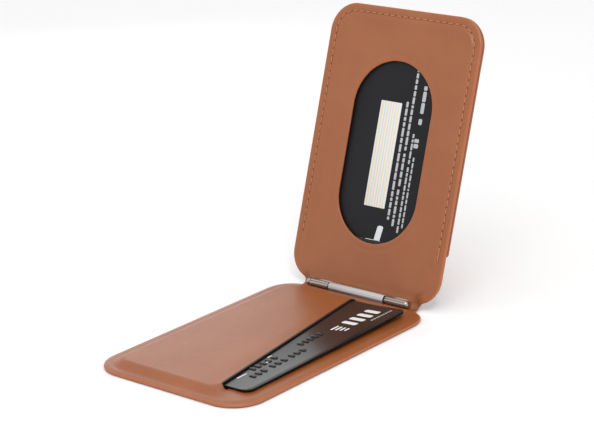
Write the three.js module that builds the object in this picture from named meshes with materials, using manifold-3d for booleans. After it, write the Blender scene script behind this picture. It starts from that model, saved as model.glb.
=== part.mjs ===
// Hinged magnetic leather card wallet that doubles as a stand.
// A flat base leaf clings to the back of a handset; a flap leaf with a thumb window is joined to it by a
// metal friction hinge and a leather neck. Each leaf holds one bank-size card.
// Millimetres. +X runs along the hinge, +Y from the free end of the base leaf to the hinge, +Z away from the handset.
// The origin is the centre of the base leaf on its magnetic face (z = 0).
import * as THREE from "three";
import { mergeVertices } from "three/addons/utils/BufferGeometryUtils.js";
import Module from "manifold-3d";

// ---------------------------------------------------------------- driving dimensions
const LEAF_W = 66.8; // width of both leaves
const BASE_L = 103.6; // base leaf length
const BASE_R = 11.8; // base leaf corner radius
const FLAP_OPEN = 108; // stored opening angle of the flap, degrees from closed
const AXIS_Y = 51.9; // hinge axis
const AXIS_Z = 2.66;
const FRONT_N = 1.75; // flap front face to hinge axis
const FLAP_V0 = 0.6; // flap lower edge, measured from the axis along the flap
const FLAP_V1 = 103.6; // flap free edge
const FLAP_R_TOP = 10.7;
const FLAP_R_LOW = 10.0;
const SKIN = 0.7; // flap leather thickness
const NECK_W = 49.6; // leather neck across the hinge
const NECK_T = 0.6;
const WINDOW_W = 34.8; // thumb window in the flap
const WINDOW_V0 = 18.3;
const WINDOW_V1 = 84.8;
const BACK_V0 = 19.0; // lower edge of the flap's back body, which is its card mouth
const BACK_R_LOW = 1.2;
const CARD_L = 85.6; // bank-size card
const CARD_W = 53.98;
const CARD_T = 0.76;
const CARD_R = 3.18;
const SLIT_A = [17.8, -41.8]; // diagonal pocket slit in the base leather, near end
const SLIT_B = [4.05, 45.7]; // far end
const STITCH_INSET = 2.84;
const THREAD_W = 0.48;
const THREAD_T = 0.22;
const THREAD_FRONT_V = 16.8; // both runs end here, beside the card mouth
const THREAD_BACK_V = 19.9;
const LINER_T = 0.3;
const MAGNETS = 16;
const MAGNET_RI = 23.1;
const MAGNET_RO = 27.0;
const BARREL_R = 1.65; // centre knuckle
const SIDE_R = 1.5; // side knuckles
const PIN_R = 0.8;
const KNUCKLE_C = 12.4; // half length of the centre knuckle
const KNUCKLE_S0 = 12.9; // side knuckles run from here
const KNUCKLE_S1 = 21.4; // to here
const HINGE_HALF = 23.0; // over the domed caps

const wasm = await Module();
wasm.setup();

// ---------------------------------------------------------------- booleans
function solid(geometry) {
  const g = geometry.clone();
  g.deleteAttribute("normal");
  g.deleteAttribute("uv");
  const m = mergeVertices(g, 1e-4);
  return new wasm.Manifold(
    new wasm.Mesh({
      numProp: 3,
      vertProperties: new Float32Array(m.attributes.position.array),
      triVerts: new Uint32Array(m.index.array),
    }),
  );
}
function geometryOf(s) {
  const m = s.getMesh(),
    n = m.numProp,
    p = new Float32Array(m.numVert * 3);
  for (let i = 0; i < m.numVert; i++)
    p.set(m.vertProperties.subarray(i * n, i * n + 3), i * 3);
  const g = new THREE.BufferGeometry();
  g.setAttribute("position", new THREE.BufferAttribute(p, 3));
  g.setIndex(new THREE.BufferAttribute(new Uint32Array(m.triVerts), 1));
  const flat = g.toNonIndexed();
  flat.computeVertexNormals();
  return flat;
}
const cut = (a, ...tools) =>
  geometryOf(tools.reduce((s, t) => s.subtract(solid(t)), solid(a)));
const join = (a, ...others) =>
  geometryOf(others.reduce((s, t) => s.add(solid(t)), solid(a)));

// ---------------------------------------------------------------- outlines
// Rectangle from (x0, y0) to (x1, y1) with its own radius at the low-y and the high-y corners.
function roundedPoints(x0, x1, y0, y1, rLow, rHigh, n = 7) {
  const out = [];
  const arc = (cx, cy, r, a0) => {
    for (let i = 0; i <= n; i++) {
      const a = a0 + (i / n) * (Math.PI / 2);
      out.push(new THREE.Vector2(cx + r * Math.cos(a), cy + r * Math.sin(a)));
    }
  };
  arc(x1 - rLow, y0 + rLow, rLow, -Math.PI / 2);
  arc(x1 - rHigh, y1 - rHigh, rHigh, 0);
  arc(x0 + rHigh, y1 - rHigh, rHigh, Math.PI / 2);
  arc(x0 + rLow, y0 + rLow, rLow, Math.PI);
  return out;
}
function plate(points, z0, z1, holes = []) {
  const s = new THREE.Shape(points);
  for (const h of holes) s.holes.push(new THREE.Path(h));
  const g = new THREE.ExtrudeGeometry(s, {
    depth: z1 - z0,
    bevelEnabled: false,
    curveSegments: 12,
  });
  return g.translate(0, 0, z0);
}
function box(x0, x1, y0, y1, z0, z1) {
  return new THREE.BoxGeometry(x1 - x0, y1 - y0, z1 - z0).translate(
    (x0 + x1) / 2,
    (y0 + y1) / 2,
    (z0 + z1) / 2,
  );
}
// Cylinder along X.
function rod(r, x0, x1, y, z, seg = 28) {
  return new THREE.CylinderGeometry(r, r, x1 - x0, seg)
    .rotateZ(Math.PI / 2)
    .translate((x0 + x1) / 2, y, z);
}
// Cylinder along Z.
function post(r, x, y, z0, z1, seg = 20) {
  return new THREE.CylinderGeometry(r, r, z1 - z0, seg)
    .rotateX(Math.PI / 2)
    .translate(x, y, (z0 + z1) / 2);
}
// A profile of [a, b] points extruded along X from x0 to x1, where a is Y and b is Z.
function strip(profile, x0, x1) {
  const s = new THREE.Shape(profile.map((p) => new THREE.Vector2(p[0], p[1])));
  const g = new THREE.ExtrudeGeometry(s, {
    depth: x1 - x0,
    bevelEnabled: false,
  });
  // shape x -> Y, shape y -> Z, depth -> X
  const m = new THREE.Matrix4().makeBasis(
    new THREE.Vector3(0, 1, 0),
    new THREE.Vector3(0, 0, 1),
    new THREE.Vector3(1, 0, 0),
  );
  return g.applyMatrix4(m).translate(x0, 0, 0);
}

// ---------------------------------------------------------------- scene graph
const wallet = new THREE.Group();
const baseGroup = new THREE.Group();
const flapGroup = new THREE.Group(); // local +Y runs up the flap, local +Z faces out of its front
flapGroup.position.set(0, AXIS_Y, AXIS_Z);
flapGroup.rotation.x = ((180 - FLAP_OPEN) * Math.PI) / 180;
wallet.add(baseGroup, flapGroup);

const finish = {
  leather: { color: 0xa56545, roughness: 0.55, metalness: 0 },
  microfibre: { color: 0x17171a, roughness: 0.95, metalness: 0 },
  board: { color: 0x6f6a60, roughness: 0.9, metalness: 0 },
  magnet: { color: 0xa9acb0, roughness: 0.35, metalness: 1 },
  steel: { color: 0x9b9a98, roughness: 0.3, metalness: 1 },
  nickel: { color: 0xb9b2a8, roughness: 0.22, metalness: 1 },
  darkSteel: { color: 0x2c2a2a, roughness: 0.5, metalness: 0.8 },
  card: { color: 0x2a2523, roughness: 0.25, metalness: 0 },
  thread: { color: 0xb77a4d, roughness: 0.8, metalness: 0 },
};
function add(group, name, geometry, kind) {
  const mesh = new THREE.Mesh(
    geometry,
    new THREE.MeshStandardMaterial(finish[kind]),
  );
  mesh.name = name;
  group.add(mesh);
  return mesh;
}

// ---------------------------------------------------------------- base leather
const clamp01 = (t) => Math.min(1, Math.max(0, t));
const smooth = (a, b, t) => {
  const s = clamp01((t - a) / (b - a));
  return s * s * (3 - 2 * s);
};
const lerpTable = (table, t) => {
  if (t <= table[0][0]) return table[0][1];
  for (let i = 1; i < table.length; i++)
    if (t <= table[i][0]) {
      const [a, u] = table[i - 1],
        [b, v] = table[i];
      return u + ((v - u) * (t - a)) / (b - a);
    }
  return table[table.length - 1][1];
};
const HW = LEAF_W / 2,
  HL = BASE_L / 2;
// Distance inside the rounded outline of the base leaf.
function edgeDistance(x, y) {
  const qx = Math.abs(x) - (HW - BASE_R),
    qy = Math.abs(y) - (HL - BASE_R);
  const outside = Math.hypot(Math.max(qx, 0), Math.max(qy, 0));
  return BASE_R - (outside + Math.min(Math.max(qx, qy), 0));
}
const slitX = (y) =>
  SLIT_A[0] + ((SLIT_B[0] - SLIT_A[0]) * (y - SLIT_A[1])) / (SLIT_B[1] - SLIT_A[1]);
// Leather heights: the pocket side is raised over the card, the strip beyond the slit lies low.
const TOP_POCKET = [[0, 0.75], [0.35, 1.02], [0.9, 1.22], [1.8, 1.72], [3, 2.36], [4.5, 2.86], [6.5, 3.14], [9, 3.3], [16, 3.4]];
const TOP_STRIP = [[0, 0.75], [0.35, 1.0], [0.9, 1.15], [1.8, 1.32], [3, 1.55]];
function leatherHeights(x, y, side) {
  const d = Math.max(0, edgeDistance(x, y));
  const u = x - slitX(y);
  let f;
  if (y >= SLIT_A[1] && y <= SLIT_B[1] && side !== 0) f = side < 0 ? 1 : 0;
  else {
    const past = Math.max(SLIT_A[1] - y, y - SLIT_B[1], 0);
    const w = 1.2 + 0.9 * past;
    f = 1 - smooth(-w, w, u);
  }
  let high = lerpTable(TOP_POCKET, d);
  high = Math.max(high - 0.34 * smooth(-6, 0, u), Math.min(high, 2.97));
  let top = lerpTable(TOP_STRIP, d) * (1 - f) + high * f;
  const zone = (1 - smooth(23.5, 25.5, Math.abs(x))) * smooth(45.2, 46.6, y);
  top = Math.max(top, 1.85 * zone + top * (1 - zone));
  const skin = 0.5 * (1 - f) + 0.6 * f;
  const under = d < 0.88 ? 0.1 : Math.max(0.33, top - skin);
  return [top, under];
}
function baseLeather() {
  const rows = [];
  for (const t of [0, 0.35, 0.9, 1.8, 3, 4.5, 6.5, 8.2]) rows.push(-HL + t);
  rows.push(SLIT_A[1], SLIT_A[1] + 0.5);
  for (let i = 1; i < 9; i++)
    rows.push(SLIT_A[1] + ((SLIT_B[1] - SLIT_A[1]) * i) / 9);
  rows.push(SLIT_B[1] - 0.5, SLIT_B[1]);
  for (const t of [11.8, 9, 4.9, 3.6, 2.6, 1.8, 0.9, 0.35, 0]) rows.push(HL - t);
  rows.push(-HL + BASE_R + 1.2);
  rows.sort((a, b) => a - b);
  const halfWidth = (y) => {
    const q = Math.abs(y) - (HL - BASE_R);
    return q <= 0
      ? HW
      : HW - BASE_R + Math.sqrt(Math.max(0, BASE_R * BASE_R - q * q));
  };
  const left = [0, 0.35, 0.87, 0.9, 1.8, 3, 4.5, 6.5, 9];
  const leftF = [0.35, 0.65, 0.86, 1];
  const rightF = [0, 0.2, 0.42, 0.6, 0.76, 0.88];
  const rightD = [0.9, 0.87, 0.35, 0];
  const cells = rows.map((y) => {
    const w = halfWidth(y),
      xs = slitX(y);
    const a = [];
    for (const d of left) a.push([-w + d, y]);
    for (const f of leftF) a.push([-w + 9 + (xs - (-w + 9)) * f, y]);
    const b = [];
    const xr = w - 0.9;
    for (const f of rightF) b.push([xs + (xr - xs) * f, y]);
    for (const d of rightD) b.push([w - d, y]);
    return [a, b];
  });
  // vertices: for each row the left run and the right run; the slit column is shared beyond the slit
  const pos = [],
    idx = [];
  const vertex = (x, y, z) => {
    pos.push(x, y, z);
    return pos.length / 3 - 1;
  };
  const grid = cells.map(([a, b], j) => {
    const y = rows[j];
    const open = y > SLIT_A[1] + 1e-6 && y < SLIT_B[1] - 1e-6;
    const make = (p, side) => {
      const [t, u] = leatherHeights(p[0], p[1], open ? side : 0);
      return [vertex(p[0], p[1], t), vertex(p[0], p[1], u)];
    };
    const lip = open ? 0.12 : 0;
    const L = a.map((p, i) =>
      make(i === a.length - 1 ? [p[0] - lip, p[1]] : p, -1),
    );
    const R = b.map((p, i) => (i === 0 && !open ? L[L.length - 1] : make(p, 1)));
    return [L, R, open];
  });
  const tri = (a, b, c) => idx.push(a, b, c);
  const quad = (a, b, c, d) => {
    tri(a, b, c);
    tri(a, c, d);
  };
  for (let j = 0; j + 1 < grid.length; j++)
    for (const s of [0, 1]) {
      const p = grid[j][s],
        q = grid[j + 1][s];
      for (let i = 0; i + 1 < p.length; i++) {
        quad(p[i][0], p[i + 1][0], q[i + 1][0], q[i][0]);
        quad(p[i][1], q[i][1], q[i + 1][1], p[i + 1][1]);
      }
      const e = s === 0 ? 0 : p.length - 1;
      if (s === 0) quad(p[e][0], q[e][0], q[e][1], p[e][1]);
      else quad(p[e][0], p[e][1], q[e][1], q[e][0]);
      if (grid[j][2] || grid[j + 1][2]) {
        const k = s === 0 ? p.length - 1 : 0;
        if (s === 0) quad(p[k][0], p[k][1], q[k][1], q[k][0]);
        else quad(p[k][0], q[k][0], q[k][1], p[k][1]);
      }
    }
  const cap = (row, flip) => {
    const run = [...row[0], ...row[1].slice(1)];
    for (let i = 0; i + 1 < run.length; i++)
      if (flip) quad(run[i][0], run[i + 1][0], run[i + 1][1], run[i][1]);
      else quad(run[i][0], run[i][1], run[i + 1][1], run[i + 1][0]);
  };
  cap(grid[0], false);
  cap(grid[grid.length - 1], true);
  const g = new THREE.BufferGeometry();
  g.setAttribute("position", new THREE.Float32BufferAttribute(pos, 3));
  g.setIndex(idx);
  return g;
}
{
  // room for the liner, relief for the barrel, way for the neck, way for the hinge plate
  const g = cut(
    baseLeather(),
    plate(
      roundedPoints(-HW + 0.86, HW - 0.86, -HL + 0.86, HL - 0.86, BASE_R - 0.86, BASE_R - 0.86, 8),
      -1,
      LINER_T + 0.02,
    ),
    plate(
      roundedPoints(-HW + 3.4, HW - 3.4, -HL + 3.4, HL - 3.4, BASE_R - 3.4, BASE_R - 3.4, 8),
      -1,
      1.048,
    ),
    box(-24.3, 24.3, AXIS_Y - 1.95, 60, -1, 6),
    box(-25.2, 25.2, 45.9, 60, -1, 0.93),
    box(-12.8, 12.8, 44.4, 60, -1, 1.34),
  );
  add(baseGroup, "base_front_leather", g, "leather");
}

// ---------------------------------------------------------------- base core
const inset = (x, y, w, l, r, d, n = 7) =>
  roundedPoints(x - w / 2 + d, x + w / 2 - d, y - l / 2 + d, y + l / 2 - d, r - d, r - d, n);
add(
  baseGroup,
  "base_liner",
  plate(inset(0, 0, LEAF_W, BASE_L, BASE_R, 0.92, 8), 0, LINER_T),
  "microfibre",
);
{
  const slab = plate(inset(0, 0, LEAF_W, BASE_L, BASE_R, 3.6), 0.33, 1.03);
  const m = 0.7;
  const platform = plate(
    [
      new THREE.Vector2(-26.6, -40.9),
      new THREE.Vector2(slitX(-40.9) - m, -40.9),
      new THREE.Vector2(slitX(44.7) - m, 44.7),
      new THREE.Vector2(-26.6, 44.7),
    ],
    1.0,
    1.5,
  );
  const board = solid(slab)
    .subtract(
      solid(
        plate(
          circle(0, 0, MAGNET_RO + 0.3, 48),
          0,
          2,
          [circle(0, 0, MAGNET_RI - 0.3, 48)],
        ),
      ),
    )
    .add(solid(cut(platform, plate(circle(0, 0, MAGNET_RO + 0.3, 48), 0, 1.03, [circle(0, 0, MAGNET_RI - 0.3, 48)]))))
    .subtract(solid(box(-3.2, 3.2, -47.2, -32.8, 0, 0.94)))
    .subtract(solid(box(-12.1, 12.1, 33.9, 60, 0, 0.78)))
    .subtract(solid(box(-12.1, 12.1, 44.3, 60, 0, 3)))
    .subtract(solid(box(-25.6, 25.6, 45.6, 60, 0, 3)))
    .subtract(solid(post(1.12, -8, 38.6, 0, 1.02)))
    .subtract(solid(post(1.12, 8, 38.6, 0, 1.02)));
  add(baseGroup, "base_core_board", geometryOf(board), "board");
}
function circle(cx, cy, r, n) {
  return Array.from({ length: n }, (_, i) => {
    const a = (2 * Math.PI * i) / n;
    return new THREE.Vector2(cx + r * Math.cos(a), cy + r * Math.sin(a));
  });
}
for (let k = 0; k < MAGNETS; k++) {
  const step = (2 * Math.PI) / MAGNETS,
    a0 = k * step + 0.02,
    a1 = (k + 1) * step - 0.02,
    n = 4,
    pts = [];
  for (let i = 0; i <= n; i++) {
    const a = a0 + ((a1 - a0) * i) / n;
    pts.push(new THREE.Vector2(MAGNET_RO * Math.cos(a), MAGNET_RO * Math.sin(a)));
  }
  for (let i = n; i >= 0; i--) {
    const a = a0 + ((a1 - a0) * i) / n;
    pts.push(new THREE.Vector2(MAGNET_RI * Math.cos(a), MAGNET_RI * Math.sin(a)));
  }
  add(
    baseGroup,
    "ring_magnet_" + String(k + 1).padStart(2, "0"),
    plate(pts, 0.34, 0.88),
    "magnet",
  );
}
add(
  baseGroup,
  "magnet_shield_ring",
  plate(circle(0, 0, MAGNET_RO + 0.1, 40), 0.9, 1.0, [circle(0, 0, MAGNET_RI - 0.1, 40)]),
  "steel",
);
add(baseGroup, "alignment_magnet", box(-3, 3, -47, -33, 0.34, 0.9), "magnet");

// card in the base pocket: slides out towards +X
add(
  baseGroup,
  "base_card",
  plate(
    roundedPoints(0.8 - CARD_W / 2, 0.8 + CARD_W / 2, 1.9 - CARD_L / 2, 1.9 + CARD_L / 2, CARD_R, CARD_R, 5),
    1.57,
    1.57 + CARD_T,
  ),
  "card",
);

// ---------------------------------------------------------------- hinge, base side
{
  const pr = [
    [AXIS_Y, 1.01],
    [AXIS_Y, 1.31],
    [46.2, 1.31],
    [44.9, 0.75],
    [34.2, 0.75],
    [34.2, 0.45],
    [45.1, 0.45],
    [46.4, 1.01],
  ].reverse();
  const leaf = solid(rod(BARREL_R, -KNUCKLE_C, KNUCKLE_C, AXIS_Y, AXIS_Z, 32))
    .add(solid(strip(pr, -11.8, 11.8)))
    .subtract(solid(rod(1.28, -14, 14, AXIS_Y, AXIS_Z, 28)))
    .subtract(solid(post(1.1, -8, 38.6, 0, 3)))
    .subtract(solid(post(1.1, 8, 38.6, 0, 3)));
  add(baseGroup, "hinge_base_leaf", geometryOf(leaf), "nickel");
}
add(baseGroup, "base_rivet_left", post(1.0, -8, 38.6, 0.36, 1.0), "steel");
add(baseGroup, "base_rivet_right", post(1.0, 8, 38.6, 0.36, 1.0), "steel");
// spring-steel friction bands that grip the pin inside the centre knuckle
for (let k = 0; k < 3; k++) {
  const x0 = -11.7 + k * 7.9,
    pts = [],
    n = 14,
    a0 = -Math.PI / 2 + 0.5,
    a1 = -Math.PI / 2 + 2 * Math.PI - 0.5;
  for (let i = 0; i <= n; i++) {
    const a = a0 + ((a1 - a0) * i) / n;
    pts.push([AXIS_Y + 1.22 * Math.cos(a), AXIS_Z + 1.22 * Math.sin(a)]);
  }
  for (let i = n; i >= 0; i--) {
    const a = a0 + ((a1 - a0) * i) / n;
    pts.push([AXIS_Y + 0.86 * Math.cos(a), AXIS_Z + 0.86 * Math.sin(a)]);
  }
  add(baseGroup, "friction_band_" + (k + 1), strip(pts, x0, x0 + 7.6), "steel");
}

// ---------------------------------------------------------------- leather neck
{
  const pts = [],
    ri = FRONT_N,
    ro = FRONT_N + NECK_T,
    up = ((FLAP_OPEN - 90) * Math.PI) / 180; // direction of the flap's back normal below the horizon
  const a0 = -Math.PI / 2,
    a1 = -up,
    n = 8,
    ex = Math.sin(up),
    ez = Math.cos(up),
    end = 0.85;
  pts.push([46.7, AXIS_Z - ro]);
  for (let i = 0; i <= n; i++) {
    const a = a0 + ((a1 - a0) * i) / n;
    pts.push([AXIS_Y + ro * Math.cos(a), AXIS_Z + ro * Math.sin(a)]);
  }
  pts.push([
    AXIS_Y + ro * Math.cos(a1) + end * ex,
    AXIS_Z + ro * Math.sin(a1) + end * ez,
  ]);
  pts.push([
    AXIS_Y + ri * Math.cos(a1) + end * ex,
    AXIS_Z + ri * Math.sin(a1) + end * ez,
  ]);
  for (let i = n; i >= 0; i--) {
    const a = a0 + ((a1 - a0) * i) / n;
    pts.push([AXIS_Y + ri * Math.cos(a), AXIS_Z + ri * Math.sin(a)]);
  }
  pts.push([46.7, AXIS_Z - ri]);
  add(baseGroup, "hinge_neck", strip(pts, -NECK_W / 2, NECK_W / 2), "leather");
}

// ---------------------------------------------------------------- flap leaf (local: y up the flap, z = minus the depth n)
const depth = (g, n0, n1) => g(-n1, -n0);
const flapOutline = (d, v0 = FLAP_V0, rLow = FLAP_R_LOW) =>
  roundedPoints(-HW + d, HW - d, v0 + (v0 === FLAP_V0 ? d : 0), FLAP_V1 - d, Math.max(0.6, rLow - d), FLAP_R_TOP - d, 7);
const stadium = (grow, n = 12) => {
  const r = WINDOW_W / 2 + grow,
    out = [];
  for (let i = 0; i <= n; i++) {
    const a = Math.PI + (Math.PI * i) / n;
    out.push(new THREE.Vector2(r * Math.cos(a), WINDOW_V0 + WINDOW_W / 2 + r * Math.sin(a)));
  }
  for (let i = 0; i <= n; i++) {
    const a = (Math.PI * i) / n;
    out.push(new THREE.Vector2(r * Math.cos(a), WINDOW_V1 - WINDOW_W / 2 + r * Math.sin(a)));
  }
  return out;
};
const N_LEAF = FRONT_N + SKIN + 0.03; // hinge plate level
const N_CORE = N_LEAF + 0.33; // stiffener and lower lining level
const N_CARD = N_CORE + 0.33; // card level
const N_BACK = N_CARD + 0.83; // back leather level
const N_OUT = N_BACK + 0.63; // the flap's outer face
const groove = (vEnd, n0, n1) =>
  depth((a, b) => plate(threadShape(vEnd - 0.06, THREAD_W / 2 + 0.05), a, b), n0, n1);
{
  const shell = depth((a, b) => plate(flapOutline(0), a, b, [stadium(0)]), FRONT_N, N_CARD - 0.06);
  const hollow = depth((a, b) => plate(flapOutline(1.8), a, b), FRONT_N + SKIN, N_CARD + 1);
  const slot = box(-22.2, 22.2, -2, 2.6, -10, 10); // the hinge straps pass through here
  const neckEnd = box(-25.0, 25.0, -2, 1.1, -10, 10);
  const channel = groove(THREAD_FRONT_V, FRONT_N - 1, FRONT_N + THREAD_T + 0.03);
  add(flapGroup, "flap_front_leather", cut(shell, hollow, slot, neckEnd, channel), "leather");
}
{
  const knuckle = (s) =>
    rod(SIDE_R, Math.min(s * KNUCKLE_S0, s * KNUCKLE_S1), Math.max(s * KNUCKLE_S0, s * KNUCKLE_S1), 0, 0, 28);
  const strapProfile = [
    [0, -1.2],
    [1.1, -1.2],
    [2.3, -N_LEAF],
    [2.8, -N_LEAF],
    [2.8, -N_LEAF - 0.3],
    [2.15, -N_LEAF - 0.3],
    [0.95, -1.5],
    [0, -1.5],
  ].reverse();
  const plateShape = [
    [-22, 2.7],
    [22, 2.7],
    [22, 8],
    [27.5, 13],
    [27.5, 29],
    [20.2, 29],
    [20.2, 14.5],
    [-20.2, 14.5],
    [-20.2, 29],
    [-27.5, 29],
    [-27.5, 13],
    [-22, 8],
  ].map((p) => new THREE.Vector2(...p));
  const leaf = solid(knuckle(1))
    .add(solid(strip(strapProfile, KNUCKLE_S0 + 0.1, KNUCKLE_S1 - 0.1)))
    .add(solid(knuckle(-1)))
    .add(solid(strip(strapProfile, -KNUCKLE_S1 + 0.1, -KNUCKLE_S0 - 0.1)))
    .add(solid(depth((a, b) => plate(plateShape, a, b), N_LEAF, N_LEAF + 0.3)))
    .subtract(solid(rod(0.87, -30, 30, 0, 0, 24)))
    .subtract(solid(post(1.1, -23.8, 25, -10, 0)))
    .subtract(solid(post(1.1, 23.8, 25, -10, 0)));
  add(flapGroup, "hinge_flap_leaf", geometryOf(leaf), "nickel");
}
add(
  flapGroup,
  "flap_steel_stiffener",
  geometryOf(
    solid(depth((a, b) => plate(flapOutline(2.0, 16.1, 3), a, b, [stadium(1.2)]), N_CORE, N_CORE + 0.27))
      .subtract(solid(post(1.1, -23.8, 25, -10, 0)))
      .subtract(solid(post(1.1, 23.8, 25, -10, 0))),
  ),
  "steel",
);
add(flapGroup, "flap_rivet_left", post(1.0, -23.8, 25, -(N_CORE + 0.27), -N_LEAF), "steel");
add(flapGroup, "flap_rivet_right", post(1.0, 23.8, 25, -(N_CORE + 0.27), -N_LEAF), "steel");
add(
  flapGroup,
  "flap_lower_lining",
  depth(
    (a, b) => plate(roundedPoints(-HW + 2, HW - 2, 2.65, 15.8, 7.6, 0.5), a, b),
    N_CORE,
    N_CORE + 0.27,
  ),
  "leather",
);
{
  const u = depth((a, b) => plate(flapOutline(0.4, BACK_V0 + 0.3, 1), a, b), N_CARD - 0.02, N_BACK - 0.02);
  const room = depth((a, b) => plate(roundedPoints(-27.35, 27.35, 10, 99.85, 1, 3.4, 5), a, b), 0, 9);
  add(flapGroup, "flap_pocket_spacer", cut(u, room), "board");
}
add(
  flapGroup,
  "flap_card",
  depth(
    (a, b) => plate(roundedPoints(-CARD_W / 2, CARD_W / 2, 13.9, 13.9 + CARD_L, CARD_R, CARD_R, 5), a, b),
    N_CARD,
    N_CARD + CARD_T,
  ),
  "card",
);
add(
  flapGroup,
  "flap_back_leather",
  cut(
    depth((a, b) => plate(flapOutline(0, BACK_V0, BACK_R_LOW), a, b), N_BACK, N_OUT),
    groove(THREAD_BACK_V, N_OUT - THREAD_T - 0.03, N_OUT + 1),
  ),
  "leather",
);
// Lockstitch thread along the top and both long sides, front run and back run, each lying in its own shallow groove.
function threadShape(vEnd, w) {
  const out = [];
  const run = (d, back) => {
    const r = FLAP_R_TOP - d,
      x = HW - d,
      t = FLAP_V1 - d,
      n = 6,
      p = [[x, vEnd]];
    for (let i = 0; i <= n; i++) {
      const a = (i / n) * (Math.PI / 2);
      p.push([x - r + r * Math.cos(a), t - r + r * Math.sin(a)]);
    }
    for (let i = 0; i <= n; i++) {
      const a = Math.PI / 2 + (i / n) * (Math.PI / 2);
      p.push([-x + r + r * Math.cos(a), t - r + r * Math.sin(a)]);
    }
    p.push([-x, vEnd]);
    return back ? p.reverse() : p;
  };
  out.push(...run(STITCH_INSET - w, false), ...run(STITCH_INSET + w, true));
  return out.map((q) => new THREE.Vector2(...q));
}
add(
  flapGroup,
  "flap_thread_front",
  depth((a, b) => plate(threadShape(THREAD_FRONT_V, THREAD_W / 2), a, b), FRONT_N, FRONT_N + THREAD_T),
  "thread",
);
add(
  flapGroup,
  "flap_thread_back",
  depth((a, b) => plate(threadShape(THREAD_BACK_V, THREAD_W / 2), a, b), N_OUT - THREAD_T, N_OUT),
  "thread",
);

// ---------------------------------------------------------------- hinge pin and its fittings, fast in the side knuckles
add(flapGroup, "hinge_pin", rod(PIN_R, -22.1, 22.1, 0, 0, 24), "steel");
const capProfile = [
  [0.86, 21.45],
  [1.45, 21.45],
  [1.52, 21.6],
  [1.52, 22.1],
  [1.36, 22.55],
  [1.0, 22.85],
  [0.5, 22.97],
  [0, HINGE_HALF],
  [0, 22.2],
  [0.86, 22.2],
  [0.86, 21.45],
].map((p) => new THREE.Vector2(...p));
add(
  flapGroup,
  "pin_cap_right",
  new THREE.LatheGeometry(capProfile, 24).rotateZ(-Math.PI / 2),
  "nickel",
);
add(
  flapGroup,
  "pin_cap_left",
  new THREE.LatheGeometry(capProfile, 24).rotateZ(Math.PI / 2),
  "nickel",
);
for (const [name, s] of [
  ["hinge_washer_left", -1],
  ["hinge_washer_right", 1],
]) {
  const p = [
    [0.87, 12.46],
    [1.36, 12.46],
    [1.36, 12.84],
    [0.87, 12.84],
    [0.87, 12.46],
  ].map((q) => new THREE.Vector2(...q));
  add(flapGroup, name, new THREE.LatheGeometry(p, 24).rotateZ((-s * Math.PI) / 2), "darkSteel");
}

export default wallet;
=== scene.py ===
import math

import bmesh
import bpy
import numpy as np
from mathutils import Matrix, Vector
from mathutils.geometry import delaunay_2d_cdt


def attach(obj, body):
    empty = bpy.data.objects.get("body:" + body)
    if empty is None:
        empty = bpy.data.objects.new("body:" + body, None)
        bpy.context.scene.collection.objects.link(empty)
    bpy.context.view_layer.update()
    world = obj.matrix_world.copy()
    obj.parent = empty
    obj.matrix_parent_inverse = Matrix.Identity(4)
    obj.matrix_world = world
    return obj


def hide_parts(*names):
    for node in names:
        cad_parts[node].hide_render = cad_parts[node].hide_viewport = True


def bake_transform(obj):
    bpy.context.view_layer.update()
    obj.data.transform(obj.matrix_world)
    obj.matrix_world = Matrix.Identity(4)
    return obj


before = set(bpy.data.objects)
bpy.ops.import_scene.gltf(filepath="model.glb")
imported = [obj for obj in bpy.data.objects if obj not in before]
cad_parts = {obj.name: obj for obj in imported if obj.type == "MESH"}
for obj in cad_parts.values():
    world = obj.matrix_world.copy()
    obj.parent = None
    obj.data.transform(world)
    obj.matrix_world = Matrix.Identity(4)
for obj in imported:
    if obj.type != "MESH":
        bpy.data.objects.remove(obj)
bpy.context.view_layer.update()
MM = 0.001

# ------------------------------------------------------------------ shared sizes (millimetres)
W, BL, BR = 66.8, 103.6, 11.8
HW, HL = W / 2, BL / 2
AY, AZ = 51.9, 2.66
FRONT = 1.75
OPEN = math.radians(108.0)
E = np.array([0.0, -math.cos(OPEN), math.sin(OPEN)])  # up the flap
N = np.array([0.0, math.sin(OPEN), math.cos(OPEN)])  # out of the flap's back
AX = np.array([0.0, AY, AZ])
V0, V1, RT, RL = 0.6, 103.6, 10.7, 10.0
WIN_W, WIN_V0, WIN_V1 = 34.8, 18.3, 84.8
N_LEAF = 2.48
N_CORE = 2.81
N_CARD = 3.14
N_BACK = 3.97
N_OUT = 4.60
BACK_V0 = 19.0
SL_A = (17.8, -41.8)
SL_B = (4.05, 45.7)
CARD_L, CARD_W, CARD_T, CARD_R = 85.6, 53.98, 0.76, 3.18
STITCH = 2.84
NECK = 25.9  # half width of the leather neck where it passes the hinge


def flap_point(x, v, n):
    """Row-frame points for flap coordinates: across, up the flap from the hinge axis, depth out of its back."""
    x, v, n = np.broadcast_arrays(
        np.asarray(x, float), np.asarray(v, float), np.asarray(n, float)
    )
    out = np.empty(x.shape + (3,))
    out[..., 0] = x
    out[..., 1] = AY + v * E[1] + n * N[1]
    out[..., 2] = AZ + v * E[2] + n * N[2]
    return out


# ------------------------------------------------------------------ mesh helpers
def link(ob):
    bpy.context.scene.collection.objects.link(ob)
    return ob


def build(name, verts, faces, smooth=True, attrs=None, fix=True):
    me = bpy.data.meshes.new(name)
    me.from_pydata((np.asarray(verts, float) * MM).tolist(), [], [list(f) for f in faces])
    me.validate(clean_customdata=False)
    if fix:
        bm = bmesh.new()
        bm.from_mesh(me)
        bmesh.ops.recalc_face_normals(bm, faces=bm.faces)
        bm.to_mesh(me)
        bm.free()
    for key, values in (attrs or {}).items():
        a = me.attributes.new(key, "FLOAT", "POINT")
        a.data.foreach_set("value", np.asarray(values, np.float32))
    if smooth:
        me.polygons.foreach_set("use_smooth", [True] * len(me.polygons))
    me.update()
    return link(bpy.data.objects.new(name, me))


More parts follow.
